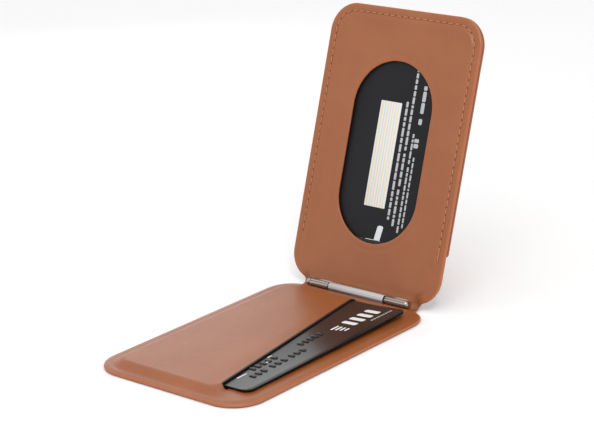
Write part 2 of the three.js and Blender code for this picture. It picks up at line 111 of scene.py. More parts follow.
def ring_faces(n_rings, n, closed):
    f = []
    for i in range(n_rings if closed else n_rings - 1):
        a, b = i * n, ((i + 1) % n_rings) * n
        for j in range(n):
            k = (j + 1) % n
            f.append((a + j, a + k, b + k, b + j))
    return f


def loft(name, rings, closed=True, cap=False, attrs=None, smooth=True):
    n = len(rings[0])
    verts = np.concatenate(rings)
    faces = ring_faces(len(rings), n, closed)
    if cap:
        faces.append(tuple(range(n))[::-1])
        faces.append(tuple(range((len(rings) - 1) * n, len(rings) * n)))
    return build(name, verts, faces, smooth, attrs)


def join_parts(parts):
    """Several (verts, faces) into one."""
    vs, fs, k = [], [], 0
    for v, f in parts:
        vs.append(np.asarray(v, float))
        fs += [tuple(i + k for i in q) for q in f]
        k += len(v)
    return np.concatenate(vs), fs


def smoothstep(a, b, t):
    s = np.clip((np.asarray(t, float) - a) / (b - a), 0, 1)
    return s * s * (3 - 2 * s)


def rounded_rect(x0, x1, y0, y1, r_low, r_high, n_arc=14, step=1.6):
    """Counter-clockwise outline with evenly spaced points; the same counts for every inset of the same shape."""
    pts = []

    def arc(cx, cy, r, a0):
        for i in range(n_arc + 1):
            a = a0 + i / n_arc * math.pi / 2
            pts.append((cx + r * math.cos(a), cy + r * math.sin(a)))

    def run(n):
        pts.append(("run", n))

    nx = max(2, int((x1 - x0) / step))
    ny = max(2, int((y1 - y0) / step))
    arc(x1 - r_low, y0 + r_low, r_low, -math.pi / 2)
    run(ny)
    arc(x1 - r_high, y1 - r_high, r_high, 0)
    run(nx)
    arc(x0 + r_high, y1 - r_high, r_high, math.pi / 2)
    run(ny)
    arc(x0 + r_low, y0 + r_low, r_low, math.pi)
    run(nx)
    out = []
    m = len(pts)
    for i, p in enumerate(pts):
        if p[0] == "run":
            a = np.array(pts[i - 1], float)
            b = np.array(pts[(i + 1) % m], float)
            for k in range(1, p[1]):
                out.append(a + (b - a) * k / p[1])
        else:
            out.append(np.array(p, float))
    return np.array(out)


def inset_rect(d, x0, x1, y0, y1, r_low, r_high, **kw):
    base = (x0, x1, y0, y1)
    nx, ny = max(2, int((x1 - x0) / kw.get("step", 1.6))), max(2, int((y1 - y0) / kw.get("step", 1.6)))
    n_arc = kw.get("n_arc", 14)
    rl, rh = max(r_low - d, 0.02), max(r_high - d, 0.02)
    X0, X1, Y0, Y1 = x0 + d, x1 - d, y0 + d, y1 - d
    out = []

    def arc(cx, cy, r, a0):
        return [
            (cx + r * math.cos(a0 + i / n_arc * math.pi / 2), cy + r * math.sin(a0 + i / n_arc * math.pi / 2))
            for i in range(n_arc + 1)
        ]

    arcs = [
        (arc(X1 - rl, Y0 + rl, rl, -math.pi / 2), ny),
        (arc(X1 - rh, Y1 - rh, rh, 0), nx),
        (arc(X0 + rh, Y1 - rh, rh, math.pi / 2), ny),
        (arc(X0 + rl, Y0 + rl, rl, math.pi), nx),
    ]
    for i, (a, n) in enumerate(arcs):
        out += a
        p, q = np.array(a[-1]), np.array(arcs[(i + 1) % 4][0][0])
        for k in range(1, n):
            out.append(tuple(p + (q - p) * k / n))
    return np.array(out, float)


def slab(name, rect, z_low, z_high, r_low, r_high, place, round_low=0.15, round_high=0.15, profile=None, steps=4, extra=()):
    """A rounded-rectangle slab with rounded edges. place(x, y, z) gives row-frame points; profile(x, y, d) lifts the top."""
    x0, x1, y0, y1 = rect
    rings = []
    for i in range(steps + 1):
        a = i / steps * math.pi / 2
        d = round_low * (1 - math.sin(a))
        rings.append((d, z_low + round_low * (1 - math.cos(a))))
    for i in range(steps + 1):
        a = i / steps * math.pi / 2
        d = round_high * (1 - math.cos(a))
        rings.append((d, z_high - round_high * (1 - math.sin(a))))
    rings += [(d, z_high) for d in extra]
    out = []
    for d, z in rings:
        p = inset_rect(d, x0, x1, y0, y1, r_low, r_high)
        zz = np.full(len(p), z)
        if profile is not None and z > (z_low + z_high) / 2:
            zz = zz + profile(p[:, 0], p[:, 1], d)
        out.append(place(p[:, 0], p[:, 1], zz))
    return loft(name, out, closed=False, cap=True)


def lathe_x(profile, n=48, y=AY, z=AZ, radial=None):
    """(x, r) profile turned about the hinge axis; open ends are closed with fans."""
    rings = []
    for x, r in profile:
        a = np.arange(n) / n * 2 * math.pi
        rr = np.full(n, float(r))
        if radial is not None:
            rr = rr * radial(a, x)
        rings.append(np.stack([np.full(n, float(x)), y + rr * np.cos(a), z + rr * np.sin(a)], 1))
    verts = np.concatenate(rings)
    faces = ring_faces(len(rings), n, False)
    faces.append(tuple(range(n))[::-1])
    faces.append(tuple(range((len(rings) - 1) * n, len(rings) * n)))
    return verts, faces


# ------------------------------------------------------------------ materials
def new_material(name):
    m = bpy.data.materials.new(name)
    m.use_nodes = True
    nt = m.node_tree
    nt.nodes.clear()
    out = nt.nodes.new("ShaderNodeOutputMaterial")
    bsdf = nt.nodes.new("ShaderNodeBsdfPrincipled")
    nt.links.new(bsdf.outputs[0], out.inputs[0])
    return m, nt, bsdf


def node(nt, kind, **inputs):
    n = nt.nodes.new(kind)
    for k, v in inputs.items():
        if k.startswith("_"):
            setattr(n, k[1:], v)
        else:
            n.inputs[k.replace("_", " ")].default_value = v
    return n


def coords(nt):
    return node(nt, "ShaderNodeTexCoord").outputs["Object"]


def tex_noise(nt, vec, scale, detail=4.0, rough=0.55, distort=0.0):
    n = node(nt, "ShaderNodeTexNoise", Scale=scale, Detail=detail, Roughness=rough, Distortion=distort)
    nt.links.new(vec, n.inputs["Vector"])
    return n.outputs["Fac"]


def tex_voronoi(nt, vec, scale, feature="F1", smooth=None):
    n = node(nt, "ShaderNodeTexVoronoi", Scale=scale, _feature=feature)
    nt.links.new(vec, n.inputs["Vector"])
    return n.outputs["Distance"]


def ramp(nt, fac, stops, interp="LINEAR"):
    n = nt.nodes.new("ShaderNodeValToRGB")
    n.color_ramp.interpolation = interp
    el = n.color_ramp.elements
    while len(el) > 1:
        el.remove(el[-1])
    el[0].position, el[0].color = stops[0][0], (*stops[0][1], 1)
    for p, c in stops[1:]:
        e = el.new(p)
        e.color = (*c, 1)
    nt.links.new(fac, n.inputs["Fac"])
    return n.outputs["Color"]


def math_node(nt, op, a, b=None, clamp=False):
    n = node(nt, "ShaderNodeMath", _operation=op, _use_clamp=clamp)
    for i, v in enumerate((a, b)):
        if v is None:
            continue
        if isinstance(v, (int, float)):
            n.inputs[i].default_value = v
        else:
            nt.links.new(v, n.inputs[i])
    return n.outputs[0]


def mix_color(nt, fac, a, b, blend="MIX"):
    n = node(nt, "ShaderNodeMix", _data_type="RGBA", _blend_type=blend)
    for i, v in ((0, fac), (6, a), (7, b)):
        if isinstance(v, (int, float)):
            n.inputs[i].default_value = v
        elif isinstance(v, tuple):
            n.inputs[i].default_value = (*v, 1) if len(v) == 3 else v
        else:
            nt.links.new(v, n.inputs[i])
    return n.outputs[2]


def bump(nt, height, strength, distance, normal=None):
    n = node(nt, "ShaderNodeBump", Strength=strength, Distance=distance)
    nt.links.new(height, n.inputs["Height"])
    if normal is not None:
        nt.links.new(normal, n.inputs["Normal"])
    return n.outputs["Normal"]


def attribute(nt, name):
    return node(nt, "ShaderNodeAttribute", _attribute_name=name).outputs["Fac"]


def leather(name, base, dark, light, rough=0.365, grain=1.0, edge=True):
    m, nt, b = new_material(name)
    v = coords(nt)
    big = tex_noise(nt, v, 38, 3, 0.6)
    mid = tex_noise(nt, v, 420, 4, 0.6)
    pores = tex_voronoi(nt, v, 2300)
    fine = tex_noise(nt, v, 5200, 3, 0.6)
    tone = ramp(nt, big, [(0.3, dark), (0.52, base), (0.74, light)])
    tone = mix_color(nt, ramp_fac(nt, mid, 0.35, 0.7, 0.0, 0.16), tone, light)
    tone = mix_color(nt, ramp_fac(nt, pores, 0.0, 0.16, 0.22 * grain, 0.0), tone, dark)
    if edge:
        # painted highlight: a lighter tone along rounded leather edges, standing in for the light they catch
        tone = mix_color(nt, math_node(nt, "MULTIPLY", attribute(nt, "edge"), 0.75), tone, tuple(c * k for c, k in zip(light, (1.28, 1.12, 1.0))))
        tone = mix_color(nt, attribute(nt, "shade"), tone, tuple(c * 0.34 for c in dark))
        # near-black edge paint on the slit lip, widened with painted shade of the gap beneath it
        tone = mix_color(nt, attribute(nt, "ink"), tone, (0.010, 0.008, 0.008))
    nt.links.new(tone, b.inputs["Base Color"])
    r = math_node(nt, "ADD", math_node(nt, "MULTIPLY", mid, 0.16), rough - 0.08)
    nt.links.new(r, b.inputs["Roughness"])
    b.inputs["Specular IOR Level"].default_value = 0.68
    n1 = bump(nt, pores, 0.22 * grain, 0.00006)
    n2 = bump(nt, fine, 0.10 * grain, 0.00003, n1)
    n3 = bump(nt, mid, 0.12, 0.00010, n2)
    nt.links.new(n3, b.inputs["Normal"])
    return m


def ramp_fac(nt, fac, a, b, lo, hi):
    n = node(nt, "ShaderNodeMapRange")
    n.inputs[1].default_value = a
    n.inputs[2].default_value = b
    n.inputs[3].default_value = lo
    n.inputs[4].default_value = hi
    nt.links.new(fac, n.inputs[0])
    return n.outputs[0]


def metal(name, color, rough, streak=0.0, metallic=1.0):
    m, nt, b = new_material(name)
    v = coords(nt)
    mp = node(nt, "ShaderNodeMapping")
    mp.inputs["Scale"].default_value = (60 if streak >= 0 else 6000, 5000, 5000)
    nt.links.new(v, mp.inputs["Vector"])
    lines = tex_noise(nt, mp.outputs[0], 1.0, 3, 0.6)
    spots = tex_noise(nt, v, 900, 4, 0.6)
    tone = mix_color(nt, ramp_fac(nt, lines, 0.3, 0.7, 0.0, 0.55), color, tuple(c * 0.72 for c in color))
    tone = mix_color(nt, ramp_fac(nt, spots, 0.5, 0.8, 0.0, 0.14), tone, tuple(c * 0.6 for c in color))
    nt.links.new(tone, b.inputs["Base Color"])
    b.inputs["Metallic"].default_value = metallic
    r = math_node(nt, "ADD", math_node(nt, "MULTIPLY", lines, 0.14), rough - 0.07)
    nt.links.new(r, b.inputs["Roughness"])
    nt.links.new(bump(nt, lines, abs(streak), 0.00002, bump(nt, spots, 0.02, 0.00002)), b.inputs["Normal"])
    return m


def plain(name, color, rough, var=0.08, scale=700, spec=0.5, bump_s=0.1, bump_d=0.00003, metallic=0.0, coat=0.0):
    m, nt, b = new_material(name)
    v = coords(nt)
    n = tex_noise(nt, v, scale, 4, 0.6)
    tone = mix_color(nt, n, tuple(c * (1 - var) for c in color), tuple(min(1, c * (1 + var)) for c in color))
    nt.links.new(tone, b.inputs["Base Color"])
    r = math_node(nt, "ADD", math_node(nt, "MULTIPLY", n, 0.1), rough - 0.05)
    nt.links.new(r, b.inputs["Roughness"])
    b.inputs["Specular IOR Level"].default_value = spec
    b.inputs["Metallic"].default_value = metallic
    b.inputs["Coat Weight"].default_value = coat
    b.inputs["Coat Roughness"].default_value = 0.08
    nt.links.new(bump(nt, n, bump_s, bump_d), b.inputs["Normal"])
    return m


TAN = (0.290, 0.081, 0.0165)
TAN_D = (0.268, 0.071, 0.014)
TAN_L = (0.314, 0.091, 0.021)
mat_leather = leather("tan_leather", TAN, TAN_D, TAN_L)
# a darker, shaded copy of the tan leather for the neck: painted shade
mat_neck_shaded = leather("neck_leather_shaded", TAN_D, (0.26, 0.085, 0.037), TAN, rough=0.5)


def microfibre():
    m, nt, b = new_material("microfibre")
    v = coords(nt)
    nap = tex_noise(nt, v, 90, 5, 0.65, 0.6)
    fuzz = tex_noise(nt, v, 4200, 3, 0.7)
    tone = mix_color(nt, ramp_fac(nt, nap, 0.35, 0.7, 0, 1), (0.010, 0.010, 0.011), (0.026, 0.026, 0.029))
    tone = mix_color(nt, ramp_fac(nt, fuzz, 0.4, 0.8, 0, 0.5), tone, (0.045, 0.045, 0.05))
    nt.links.new(tone, b.inputs["Base Color"])
    b.inputs["Roughness"].default_value = 0.92
    b.inputs["Specular IOR Level"].default_value = 0.2
    b.inputs["Sheen Weight"].default_value = 0.35
    b.inputs["Sheen Roughness"].default_value = 0.5
    nt.links.new(bump(nt, fuzz, 0.5, 0.00008), b.inputs["Normal"])
    return m


mat_fibre = microfibre()
mat_board = plain("fibreboard", (0.022, 0.020, 0.019), 0.85, 0.3, 1500, 0.3, 0.3, 0.00005)
mat_knuckle = metal("brushed_nickel", (0.62, 0.60, 0.595), 0.30, 0.12, 0.72)
mat_side = metal("polished_nickel", (0.50, 0.455, 0.42), 0.22, 0.06, 0.9)
mat_cap = metal("cap_nickel", (0.46, 0.41, 0.365), 0.17, 0.04)
mat_steel = metal("spring_steel", (0.42, 0.42, 0.42), 0.34, 0.3)
mat_dark = metal("blackened_steel", (0.035, 0.03, 0.03), 0.42, 0.1)
mat_magnet = metal("magnet_plate", (0.55, 0.56, 0.58), 0.28, 0.08)
mat_thread = None


def thread_material():
    m, nt, b = new_material("thread")
    v = coords(nt)
    twist = node(nt, "ShaderNodeTexWave", Scale=1900.0, Distortion=1.5, Detail=2.0)
    nt.links.new(v, twist.inputs["Vector"])
    n = tex_noise(nt, v, 2600, 3, 0.6)
    tone = mix_color(nt, twist.outputs["Fac"], (0.39, 0.130, 0.043), (0.53, 0.215, 0.095))
    tone = mix_color(nt, ramp_fac(nt, n, 0.4, 0.8, 0, 0.4), tone, (0.34, 0.11, 0.045))
    nt.links.new(tone, b.inputs["Base Color"])
    b.inputs["Roughness"].default_value = 0.6
    nt.links.new(bump(nt, twist.outputs["Fac"], 0.5, 0.00006), b.inputs["Normal"])
    return m


mat_thread = thread_material()
# dark discs at the needle holes: painted shade standing in for the shadow inside each hole
mat_hole_shade = plain("needle_hole_shade", (0.055, 0.018, 0.009), 0.8, 0.2, 2000)


def card_material(name, dark, light, rough, spec=0.5):
    m, nt, b = new_material(name)
    v = coords(nt)
    big = tex_noise(nt, v, 26, 2, 0.5)
    fine = tex_noise(nt, v, 6500, 3, 0.6)
    smear = tex_noise(nt, v, 130, 5, 0.65, 1.2)
    tone = mix_color(nt, ramp_fac(nt, big, 0.35, 0.65, 0, 1), dark, light)
    tone = mix_color(nt, ramp_fac(nt, fine, 0.55, 0.8, 0, 0.25), tone, tuple(c * 2.2 for c in light))
    nt.links.new(tone, b.inputs["Base Color"])
    nt.links.new(math_node(nt, "ADD", math_node(nt, "MULTIPLY", smear, 0.12), rough - 0.06), b.inputs["Roughness"])
    b.inputs["Specular IOR Level"].default_value = spec
    nt.links.new(bump(nt, fine, 0.04, 0.00002), b.inputs["Normal"])
    return m


mat_card_a = card_material("card_black", (0.008, 0.007, 0.007), (0.016, 0.013, 0.012), 0.22)
mat_card_side = plain("card_side", (0.006, 0.006, 0.007), 0.7, 0.2, 1500, 0.08)
mat_card_b = card_material("card_charcoal", (0.007, 0.007, 0.009), (0.010, 0.010, 0.012), 0.5, 0.22)
mat_emboss = plain("embossed_black", (0.012, 0.012, 0.013), 0.34, 0.2, 1200)
mat_white = plain("print_white", (0.80, 0.80, 0.80), 0.45, 0.05, 900)
mat_grey = plain("print_grey", (0.42, 0.43, 0.44), 0.45, 0.1, 900)
mat_foil = plain("foil", (0.72, 0.74, 0.78), 0.25, 0.2, 500, metallic=1.0)


def assign(ob, mat):
    ob.data.materials.clear()
    ob.data.materials.append(mat)
    return ob


# ------------------------------------------------------------------ base leather
def base_edge(x, y):
    qx = np.abs(x) - (HW - BR)
    qy = np.abs(y) - (HL - BR)
    outside = np.hypot(np.maximum(qx, 0), np.maximum(qy, 0))
    return BR - (outside + np.minimum(np.maximum(qx, qy), 0))


def slit_x(y):
    return SL_A[0] + (SL_B[0] - SL_A[0]) * (y - SL_A[1]) / (SL_B[1] - SL_A[1])


def pillow(x, y, side):
    """Top and underside of the base leather. side: -1 pocket side, 1 strip side, 0 beyond the slit."""
    d = np.maximum(0, base_edge(x, y))
    u = x - slit_x(y)
    past = np.maximum(np.maximum(SL_A[1] - y, y - SL_B[1]), 0)
    w = 1.0 + 1.05 * past
    f = 1 - smoothstep(0, 1, (u + w) / (2 * w))
    f = np.where((side != 0) & (past <= 0), np.where(side < 0, 1.0, 0.0), f)
    # the strip: a softly domed band round the edge, then flat
    strip = 1.18 + 0.34 * smoothstep(0.4, 3.4, d)
    # the pocket: band, shallow press line, then the shoulder of the pocket
    band = 1.16 + 0.20 * smoothstep(0.4, 1.8, d) - 0.05 * np.exp(-(((d - 3.1) / 0.7) ** 2))
    swell = 1.90 * smoothstep(3.0, 7.4, d) ** 0.92 + 0.16 * smoothstep(7, 24, d)
    high = band + swell
    high = high + 0.05 * np.exp(-(((d - 6.4) / 1.0) ** 2))
    lip = np.maximum(high - 0.22 * smoothstep(-7, 0, u), np.minimum(high, 3.20))
    top = strip * (1 - f) + lip * f
    zone = (1 - smoothstep(23.7, 26.7, np.abs(x))) * smoothstep(43.5, 47.2, y)
    top = np.maximum(top, 1.86 * zone + top * (1 - zone))
    # rounded free edge
    mid = 0.62 * (1 - zone) + 1.40 * zone
    r = 0.55
    q = np.clip(d / r, 0, 1)
    roll = np.sqrt(np.clip(1 - (1 - q) ** 2, 0, 1))
    top = mid + (top - mid) * roll
    low = 0.12 * (1 - zone) + 0.96 * zone
    q2 = np.clip(d / 0.4, 0, 1)
    roll2 = np.sqrt(np.clip(1 - (1 - q2) ** 2, 0, 1))
    skin = 0.5 * (1 - f) + 0.58 * f
    deep = np.maximum(np.maximum(0.34, low), top - skin)
    under = np.where(d < 0.9, low, low + (deep - low) * smoothstep(0.9, 1.6, d))
    under = np.where((side < 0), np.maximum(under, np.minimum(top - 0.5, 2.72) * smoothstep(-3.5, -1.0, u) * (side < 0)), under)
    under = np.minimum(mid - (mid - under) * roll2, top - 0.02 * roll)
    return top, under, d, f


def base_leather():
    ends = [0, 0.015, 0.05, 0.1, 0.17, 0.26, 0.37, 0.5, 0.65, 0.85, 1.1, 1.45, 1.85, 2.25, 2.65, 3.05, 3.45, 3.85, 4.3, 4.8, 5.4, 6.0, 6.7, 7.5, 8.4]
    rows = {round(-HL + t, 4) for t in ends} | {round(HL - t, 4) for t in ends}
    for i in range(27):
        q = HL - BR + BR * math.sin(i / 26 * math.pi / 2)
        rows |= {round(q, 4), round(-q, 4)}
    rows |= {round(v, 4) for v in np.arange(-39.5, 40.1, 1.3)}
    for t in (0.0, 0.12, 0.3, 0.5, 0.7, 0.9, 1.05, 1.15, 1.4, 1.9):
        rows |= {round(SL_A[1] + t, 4), round(SL_B[1] - t, 4)}
    rows |= {round(SL_A[1] - t, 4) for t in (0.3, 0.7, 1.2)} | {round(SL_B[1] + t, 4) for t in (0.3, 0.7, 1.2)}
    rows = sorted(rows)
    keep = [rows[0]]
    for v in rows[1:]:
        if v - keep[-1] > 0.012 or v in (round(SL_A[1], 4), round(SL_B[1], 4)):
            keep.append(v)
    rows = keep
    left_d = np.array([0, 0.015, 0.05, 0.1, 0.17, 0.26, 0.37, 0.5, 0.65, 0.9, 1.2, 1.6, 2.0, 2.4, 2.8, 3.2, 3.6, 4.0, 4.4, 4.9, 5.4, 6.0, 6.7, 7.5, 8.5, 9.5])
    lip_d = np.array([6.0, 4.5, 3.3, 2.3, 1.6, 1.1, 0.75, 0.5, 0.32, 0.2, 0.1, 0.04, 0])
    right_d = np.array([12, 10, 8.5, 7.2, 6.2, 5.4, 4.6, 4.0, 3.5, 3.0, 2.5, 2.1, 1.7, 1.35, 1.05, 0.8, 0.62, 0.5, 0.37, 0.26, 0.17, 0.1, 0.05, 0.015, 0])
    L, R, flags = [], [], []
    for y in rows:
        q = abs(y) - (HL - BR)
        w = HW if q <= 0 else HW - BR + math.sqrt(max(0, BR * BR - q * q))
        xs = slit_x(y)
        inside = SL_A[1] + 1e-4 < y < SL_B[1] - 1e-4
        e = min(abs(y - SL_A[1]), abs(y - SL_B[1]))
        gap = 0.0
        if inside:
            near = abs(y - SL_A[1]) < 5
            rr = 0.85 if near else 0.55
            full = 1.0
            gap = full * smoothstep(0.0, 1.6, e)
            if near and e < 2 * rr:
                gap = max(gap, math.sqrt(max(0, rr * rr - (e - rr) ** 2)))
        total = xs + w
        a = list(-w + left_d)
        mid0, mid1 = a[-1], xs - gap - lip_d[0]
        nmid = 16
        a += [mid0 + (mid1 - mid0) * k / nmid for k in range(1, nmid)]
        a += list(xs - gap - lip_d)
        half = math.sqrt(max(0, rr * rr - (e - rr) ** 2)) if inside and e < 2 * rr else 0.0
        wr = w - (xs + half)
        s = min(1.0, wr / 16.0)
        nr = 5
        b0 = xs + half
        b1 = w - right_d[0] * s
        b = [b0 + (b1 - b0) * (k / nr) for k in range(nr)] + list(w - right_d * s)
        L.append([(x, y) for x in a])
        R.append([(x, y) for x in b])
        flags.append(inside)
    verts, faces = [], []
    edge, shade, ink = [], [], []
    idx = []

    def warp(x, y):
        notch = 1.9 * (1 - smoothstep(24.5, 26.4, np.abs(x)))
        s = np.clip((y - 43.5) / (HL - 43.5), 0, 1)
        return y - notch * s * s

    for j, y in enumerate(rows):
        row = []
        for s, P in ((-1, L[j]), (1, R[j])):
            P = np.array(P, float)
            t, u, d, f = pillow(P[:, 0], P[:, 1], s if flags[j] else 0)
            if flags[j]:
                # rounded slit edges
                if s < 0:
                    h = P[-1, 0] - P[:, 0]
                    r = 0.26
                    q = np.clip(h / r, 0, 1)
                    roll = np.sqrt(np.clip(1 - (1 - q) ** 2, 0, 1))
                    m = (t + u) / 2
                    t, u = m + (t - m) * roll, m + (u - m) * roll
                else:
                    h = P[:, 0] - P[0, 0]
                    r = 0.2
                    q = np.clip(h / r, 0, 1)
                    roll = np.sqrt(np.clip(1 - (1 - q) ** 2, 0, 1))
                    m = (t + u) / 2
                    t, u = m + (t - m) * roll, m + (u - m) * roll
            yy = warp(P[:, 0], P[:, 1])
            cx, cy = np.abs(P[:, 0]) - (HW - BR), P[:, 1] - (HL - BR)
            rad = np.hypot(np.maximum(cx, 0), np.maximum(cy, 0))
            c2, s2 = np.maximum(cx, 0) / np.maximum(rad, 1e-6), np.maximum(cy, 0) / np.maximum(rad, 1e-6)
            grow = np.where(rad > 1e-6, (np.maximum(c2, 1e-9) ** 2.35 + np.maximum(s2, 1e-9) ** 2.35) ** (-1 / 2.35) - 1, 0) * smoothstep(0.35, 1.0, rad / BR)
            xx = P[:, 0] + np.sign(P[:, 0]) * rad * c2 * grow
            yy = yy + rad * s2 * grow
            run = []
            for k in range(len(P)):
                if s > 0 and k == 0 and not flags[j]:
                    run.append(row[0][-1])
                    continue
                i0 = len(verts)
                verts.append((xx[k], yy[k], t[k]))
                verts.append((xx[k], yy[k], u[k]))
                # painted highlight along the rounded free edge and beside the slit lip
                e = float(np.exp(-((d[k] / 0.55) ** 2)))
                if flags[j] and s < 0:
                    hh = P[-1, 0] - P[k, 0]
                    # black band on the lip edge and top: partly edge paint, partly painted shade of the gap under
                    # the lip
                    dark = float(np.exp(-((hh / 0.62) ** 8)))
                    e = max(e, 0.35 * float(np.exp(-((hh / 0.8) ** 2))))
                    shade += [0.0, 1.0 if hh < 9 else 0.5]
                    ink += [dark, dark]
                else:
                    shade += [0.0, 0.3]
                    hh = P[k, 0] - P[0, 0]
                    # painted shade: the strip leather round the slit's end notch is painted black where the gap
                    # shows dark
                    ins = flags[j] and s > 0 and math.hypot(P[k, 0] - SL_A[0], P[k, 1] - SL_A[1] - 0.85) < 1.35
                    ink += [1.0 if ins else 0.0] * 2
                edge += [e, e]
                run.append((i0, i0 + 1))
            row.append(run)
        idx.append(row)
    for j in range(len(rows) - 1):
        for s in (0, 1):
            p, q = idx[j][s], idx[j + 1][s]
            for i in range(len(p) - 1):
                faces.append((p[i][0], p[i + 1][0], q[i + 1][0], q[i][0]))
                faces.append((p[i][1], q[i][1], q[i + 1][1], p[i + 1][1]))
            e = 0 if s == 0 else len(p) - 1
            faces.append((p[e][0], q[e][0], q[e][1], p[e][1]))
            if flags[j] or flags[j + 1]:
                k = len(p) - 1 if s == 0 else 0
                faces.append((p[k][0], p[k][1], q[k][1], q[k][0]))
    for row in (idx[0], idx[-1]):
        run = row[0] + row[1][1:]
        for i in range(len(run) - 1):
            faces.append((run[i][0], run[i + 1][0], run[i + 1][1], run[i][1]))
    good = []
    for f in faces:
        g = []
        for v in f:
            if v not in g:
                g.append(v)
        if len(g) >= 3:
            good.append(tuple(g))
    return build("base_leather", verts, good, attrs={"edge": edge, "shade": shade, "ink": ink})


base_skin = assign(base_leather(), mat_leather)
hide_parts("base_front_leather")
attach(base_skin, "base")


def flat(x, y, z):
    return np.stack(np.broadcast_arrays(x, y, z), -1).astype(float)


# ------------------------------------------------------------------ base liner with a pressed ring
def liner():
    x0, x1, y0, y1 = -HW + 0.95, HW - 0.95, -HL + 0.95, HL - 0.95
    r = BR - 0.95
    # outer rings down from the top face to the lower face, then a polar patch with the pressed magnet ring
    outline = inset_rect(0, x0, x1, y0, y1, r, r, n_arc=16, step=1.5)
    ang = np.arctan2(outline[:, 1], outline[:, 0])
    prof = [(0.0, 0.30), (0.0, 0.14), (0.04, 0.05), (0.12, 0.0), (1.2, 0.0), (1.5, 0.035), (1.8, 0.0)]
    rings = []
    for d, z in prof:
        p = inset_rect(d, x0, x1, y0, y1, r, r, n_arc=16, step=1.5)
        rings.append(flat(p[:, 0], p[:, 1], z))
    last = rings[-1]
    R0 = 29.5
    circle = np.stack([R0 * np.cos(ang), R0 * np.sin(ang)], 1)
    for t in (0.25, 0.5, 0.75, 1.0):
        p = last[:, :2] * (1 - t) + circle * t
        rings.append(flat(p[:, 0], p[:, 1], 0.0))
    for rr, z in ((28.6, 0.0), (28.2, 0.05), (27.8, 0.0), (25, 0.0), (22.6, 0.0), (22.2, 0.05), (21.8, 0.0), (16, 0.0), (9, 0.0), (3, 0.0)):
        rings.append(flat(rr * np.cos(ang), rr * np.sin(ang), z))
    ob = loft("base_microfibre", rings, closed=False, cap=True)
    return ob


under = assign(liner(), mat_fibre)
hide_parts("base_liner")
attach(under, "base")

# ------------------------------------------------------------------ flap front leather and neck in one skin
ARC = OPEN  # not used for lengths
FOLD = math.pi - OPEN  # turn of the leather round the barrel as stored
RHO = FRONT + 0.3
S_ARC = -FOLD * RHO


def skin_point(x, s, off):
    """x across, s along the skin from the hinge axis (negative round the barrel), off behind the visible face."""
    x, s, off = np.broadcast_arrays(np.asarray(x, float), np.asarray(s, float), np.asarray(off, float))
    out = flap_point(x, np.maximum(s, 0), FRONT + off)
    turn = np.clip(-s / RHO, 0, FOLD)
    a = -(OPEN - math.pi / 2) - turn
    rho = FRONT + off
    beyond = np.maximum(S_ARC - s, 0)
    arc = np.stack([x, AY + rho * np.cos(a) - beyond, AZ + rho * np.sin(a)], -1)
    return np.where((s < 0)[..., None], arc, out)


def skin_outline():
    pts = []

    def arc(cx, cy, r, a0, a1, n):
        for i in range(n + 1):
            a = a0 + (a1 - a0) * i / n
            pts.append((cx + r * math.cos(a), cy + r * math.sin(a)))

    S_END = S_ARC - 4.6
    # right half, from the bottom middle upwards
    pts.append((0, S_END))
    pts.append((NECK - 1.0, S_END))
    arc(NECK - 1.0, S_END + 1.0, 1.0, -math.pi / 2, 0, 4)
    Rf = 2.6
    cx, cy = HW - RL, V0 + RL
    dx = NECK + Rf - cx
    ds = math.sqrt((RL + Rf) ** 2 - dx * dx)
    bx, by = NECK + Rf, cy - ds
    a_end = math.atan2(by - cy, bx - cx)
    arc(bx, by, Rf, math.pi, a_end + math.pi, 12)
    arc(cx, cy, RL, a_end, 0, 20)
    arc(HW - RT, V1 - RT, RT, 0, math.pi / 2, 20)
    pts.append((0, V1))
    right = np.array(pts)
    left = right[::-1][1:-1] * np.array([-1, 1])
    loop = np.concatenate([right, left])
    # even spacing
    closed = np.concatenate([loop, loop[:1]])
    seg = np.hypot(*np.diff(closed, axis=0).T)
    cum = np.concatenate([[0], np.cumsum(seg)])
    n = 560
    t = np.arange(n) / n * cum[-1]
    out = np.stack([np.interp(t, cum, closed[:, 0]), np.interp(t, cum, closed[:, 1])], 1)
    return out


def inward(loop):
    nxt, prv = np.roll(loop, -1, 0), np.roll(loop, 1, 0)
    t = nxt - prv
    t /= np.linalg.norm(t, axis=1)[:, None]
    return np.stack([-t[:, 1], t[:, 0]], 1)


def stadium_at(angle, grow):
    """Point of the window outline, grown by grow, in the direction angle from its centre."""
    r = WIN_W / 2 + grow
    h = (WIN_V1 - WIN_V0) / 2 - WIN_W / 2
    cx, cy = 0.0, (WIN_V0 + WIN_V1) / 2
    c, s = np.cos(angle), np.sin(angle)
    side = np.where(np.abs(c) > 1e-9, r / np.maximum(np.abs(c), 1e-9), 1e9)
    on_side = np.abs(side * s) <= h
    hh = np.sign(s) * h
    b = hh * s
    disc = np.maximum(b * b - (h * h - r * r), 0)
    cap = b + np.sqrt(disc)
    k = np.where(on_side, side, cap)
    return np.stack([cx + k * c, cy + k * s], 1)


def window_distance(x, v):
    h = (WIN_V1 - WIN_V0) / 2 - WIN_W / 2
    cy = (WIN_V0 + WIN_V1) / 2
    q = np.abs(v - cy) - h
    return np.hypot(x, np.maximum(q, 0)) - WIN_W / 2


def segment_distance(pts, loop):
    a, b = loop, np.roll(loop, -1, 0)
    ab = b - a
    best = np.full(len(pts), 1e9)
    for i in range(0, len(pts), 400):
        p = pts[i : i + 400, None, :] - a[None]
        t = np.clip((p * ab).sum(-1) / np.maximum((ab * ab).sum(-1), 1e-12), 0, 1)
        q = p - t[..., None] * ab
        best[i : i + 400] = np.sqrt((q * q).sum(-1)).min(1)
    return best


def inside_loop(pts, loop):
    x, y = pts[:, 0], pts[:, 1]
    c = np.zeros(len(pts), bool)
    a, b = loop, np.roll(loop, -1, 0)
    for (x0, y0), (x1, y1) in zip(a, b):
        cut = (y0 > y) != (y1 > y)
        if y1 != y0:
            c ^= cut & (x < (x1 - x0) * (y - y0) / (y1 - y0) + x0)
    return c


